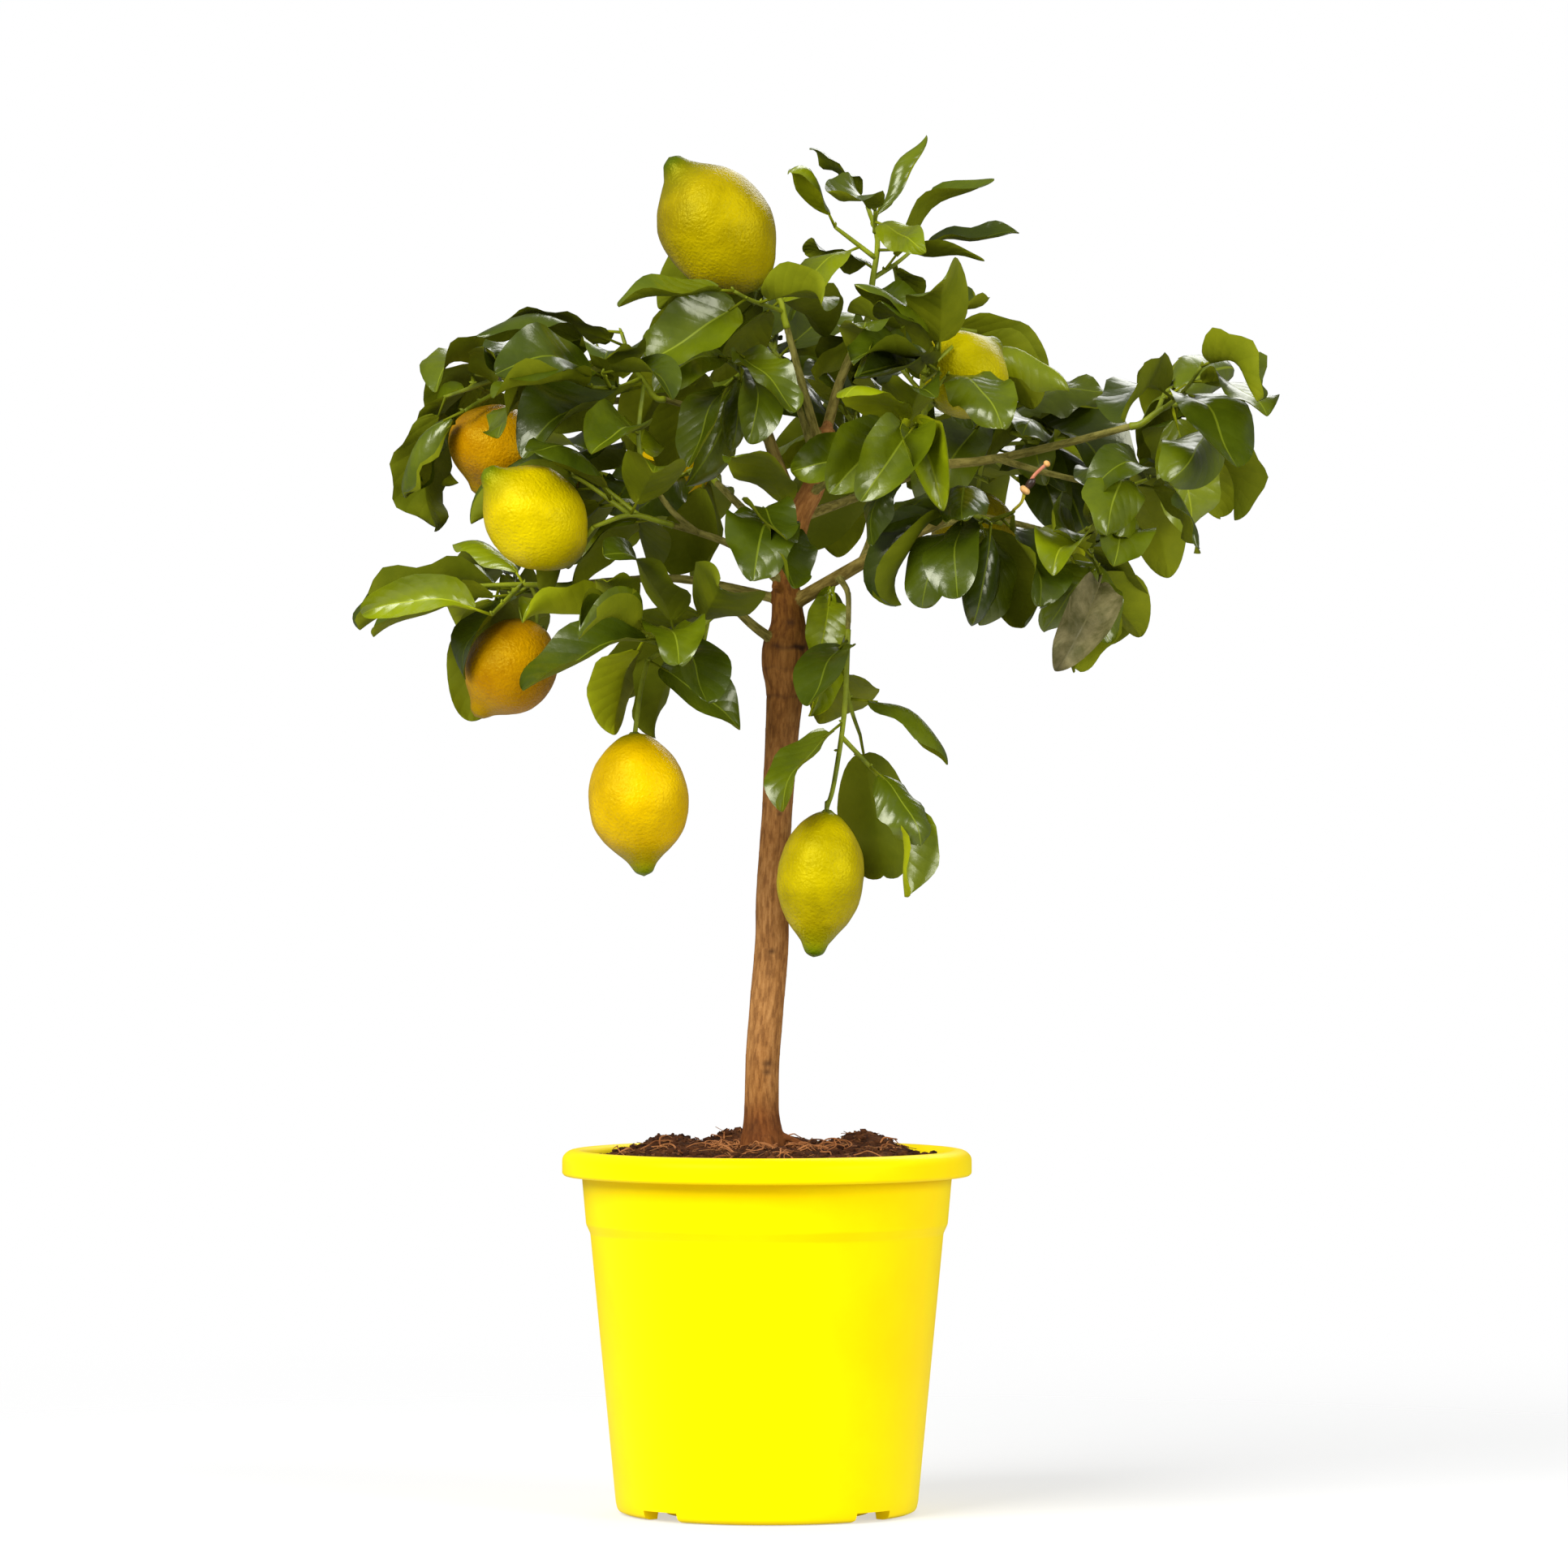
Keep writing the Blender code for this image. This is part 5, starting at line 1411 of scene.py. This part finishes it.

# %% [markdown]
# ## Lemons
# A lemon is a fat spindle with a neck at the stalk and a blunt nipple at its tip. Half its outline is spun,
# its skin is pushed in and out a little, and the bump gives it its pores. The nipple and the neck stay
# greenish, so each point keeps its share of the fruit's length, and a ramp turns that into colour. A small
# green button sits on the stalk end. They ripen one after another, so there are six skins, from those
# that are still a little green to the orange of the two ripest. Two skins carry painted shade: the orange
# is set darker for the leaves that the two ripest hang among, and one skin is the early skin about a fifth
# darker, for the top lemon and the lemon at the back right.

# %% Lemon shape
LEMON_STEPS = 40
LEMON_LINE = [(0.0, 0.0), (0.006, 0.12), (0.022, 0.27), (0.06, 0.44), (0.12, 0.63), (0.20, 0.80),
              (0.30, 0.93), (0.42, 1.0), (0.54, 0.985), (0.65, 0.90), (0.74, 0.755), (0.81, 0.575),
              (0.86, 0.415), (0.90, 0.305), (0.94, 0.235), (0.975, 0.16),
              (1.0, 0.0)]     # (share of length, of radius)


def lemon(fruit, seed):
    """One lemon, spun and then turned to hang along its axis."""
    share, half = np.maximum(smooth_path(LEMON_LINE, 3), 0).T
    half[0] = half[-1] = 0
    bm = spun(np.column_stack([half * fruit.radius, share * fruit.length]), LEMON_STEPS)
    along = bm.verts.layers.float.new("along")
    for vert in bm.verts:
        vert[along] = vert.co.z / fruit.length
        lean = noise.noise(vert.co * 42 + Vector((seed, 0, 0))) * 0.0016
        dent = noise.noise(vert.co * 190 + Vector((0, seed, 0))) * 0.00032
        vert.co += Vector((vert.co.x, vert.co.y, 0)).normalized() * (lean + dent)
    turn = Vector((0, 0, 1)).rotation_difference(Vector(fruit.axis)).to_matrix().to_4x4()
    bmesh.ops.transform(bm, matrix=Matrix.Translation(fruit.stalk) @ turn, verts=bm.verts)
    bmesh.ops.recalc_face_normals(bm, faces=bm.faces)
    return bm


# %% Lemon skins
def lemon_look(name, tones, green):
    """Pored skin that goes green towards the nipple and the neck."""
    look = finish(name, tones, 30, 0.30, (560, 0.75, 0.0011), specular=0.45, shine=(1.0, 0.92, 0.06))
    share = add_node(look, "ShaderNodeAttribute", {"attribute_name": "along"}).outputs["Fac"]
    ramp = add_node(look, "ShaderNodeValToRGB")
    steps = ramp.color_ramp.elements
    while len(steps) < 5:
        steps.new(0.5)
    for step, at_share, value in zip(steps, (0.0, 0.09, 0.76, 0.90, 0.97), (0.6, 0.0, 0.0, 0.6, 1.0)):
        step.position = at_share
        step.color = (value, value, value, 1)
    wire(look, share, ramp.inputs["Fac"])
    skin_colour = look.node_tree.nodes["Color Ramp"].outputs["Color"]
    colour = mixed(look, ramp.outputs["Color"], skin_colour, green)
    wire(look, colour, look.node_tree.nodes["Principled BSDF"].inputs["Base Color"])
    return look


# Skin: its tones, and the green of its two ends
SKINS = {
    "golden lemon": ([(0.53, 0.325, 0.0), (0.64, 0.40, 0.0), (0.74, 0.475, 0.0)], (0.13, 0.18, 0.001)),
    # The orange tones are set darker than the fruit's own colour, for the leaves that the two ripest hang
    # among: painted shade.
    "orange lemon in painted shade": ([(0.40, 0.175, 0.0), (0.49, 0.235, 0.0), (0.60, 0.305, 0.0)], (0.34, 0.20, 0.001)),
    "bright lemon": ([(0.54, 0.41, 0.0), (0.65, 0.50, 0.0), (0.74, 0.575, 0.0)], (0.12, 0.16, 0.001)),
    "early lemon": ([(0.31, 0.245, 0.0), (0.41, 0.325, 0.0), (0.51, 0.405, 0.0)], (0.09, 0.15, 0.001)),
    # This skin is the early skin about a fifth darker: painted shade.
    "early lemon in painted shade": ([(0.25, 0.19, 0.0), (0.34, 0.26, 0.0), (0.43, 0.33, 0.0)], (0.07, 0.10, 0.001)),
    "green lemon": ([(0.40, 0.34, 0.0), (0.49, 0.415, 0.0), (0.555, 0.475, 0.0)], (0.10, 0.14, 0.001)),
}
skins = [lemon_look(name, tones, green) for name, (tones, green) in SKINS.items()]
# The top lemon and the lemon at the back right take the darker copy of the early skin, painted shade.
RIPENESS = {"far_left": 1, "left": 1, "mid_left": 2, "upper_right": 5, "top_left": 4, "hanging": 3,
            "back_right": 4}

# %% Lemons on their twigs
bm = bmesh.new()
bm.verts.layers.float.new("along")
for number, (name, fruit) in enumerate(fruits.items()):
    one = lemon(fruit, number * 3.7)
    for face in one.faces:
        face.material_index = RIPENESS.get(name, 0)
    bm.from_mesh(mesh_of(one, "lemon"))
piece("lemons", mesh_of(bm, "lemons"), skins)

# %% Buttons on the stalk ends
bm = bmesh.new()
for fruit in fruits.values():
    turn = Vector((0, 0, 1)).rotation_difference(Vector(-fruit.axis)).to_matrix().to_4x4()
    place = Matrix.Translation(Vector(fruit.stalk + fruit.axis * 0.0008)) @ turn
    grown = bmesh.ops.create_cone(bm, cap_ends=True, segments=20, radius1=0.0052, radius2=0.0019,
                                  depth=0.0030, matrix=place)
    inverse = place.inverted()
    for vert in grown["verts"]:
        local = inverse @ vert.co
        pull = 1 + 0.18 * math.cos(5 * math.atan2(local.y, local.x))
        vert.co = place @ Vector((local.x * pull, local.y * pull, local.z))
button_green = finish("green buttons", [(0.10, 0.12, 0.01), (0.19, 0.21, 0.02)], 200, 0.6,
                      (700, 0.4, 0.0003), specular=0.2)
piece("stalk_buttons", mesh_of(bm, "buttons", False), [button_green])

# %% [markdown]
# ## A spent flower
# One flower on the right has dropped its petals. What is left is a yellow stalk, a cup, the dark swelling
# that could become a lemon, and the pink style with its knob.

# %% Spent flower
half_way = (FLOWER_FOOT + FLOWER_CUP) / 2 + np.array([0.0015, -0.001, -0.001])
bend_of_style = (FLOWER_CUP + FLOWER_KNOB) / 2 + np.array([-0.0008, 0, 0.0010])
parts = [("flower stalk", [FLOWER_FOOT, half_way, FLOWER_CUP], [0.9, 0.9, 1.1]),
         ("flower style", [FLOWER_CUP, bend_of_style, FLOWER_KNOB], [1.1, 1.0, 1.0])]
bm = fused([tube(name, smooth_path(path, 4), np.interp(np.linspace(0, 2, 9), range(3), radii) * MM, 10)
            for name, path, radii in parts])
for face in bm.faces:
    face.material_index = 1 if face.calc_center_median().z > FLOWER_CUP[2] else 0
way = Vector(FLOWER_KNOB - FLOWER_CUP)
turn = Vector((0, 0, 1)).rotation_difference(way).to_matrix().to_4x4()
swelling = FLOWER_CUP + unit(way) * 0.005
BEADS = [(FLOWER_CUP, (3.4, 3.4, 2.2), 2), (swelling, (2.4, 2.4, 3.8), 3),
         (FLOWER_KNOB, (2.1, 2.1, 1.7), 2)]     # place, half sizes in mm, finish
for spot, size, index in BEADS:
    shape = Matrix.Diagonal((*(np.array(size) * MM), 1))
    grown = bmesh.ops.create_uvsphere(bm, u_segments=14, v_segments=8, radius=1,
                                      matrix=Matrix.Translation(spot) @ turn @ shape)
    for face in {face for vert in grown["verts"] for face in vert.link_faces}:
        face.material_index = index
flower_looks = [finish("flower stalk", [(0.42, 0.38, 0.01), (0.55, 0.46, 0.02)], 200, 0.5),
                finish("flower style", [(0.55, 0.16, 0.09), (0.70, 0.26, 0.13)], 200, 0.5),
                finish("flower cup", [(0.74, 0.36, 0.09), (0.85, 0.50, 0.18)], 200, 0.5),
                finish("young fruit", [(0.03, 0.015, 0.010), (0.06, 0.03, 0.02)], 200, 0.4)]
piece("spent_flower", mesh_of(bm, "spent flower"), flower_looks)
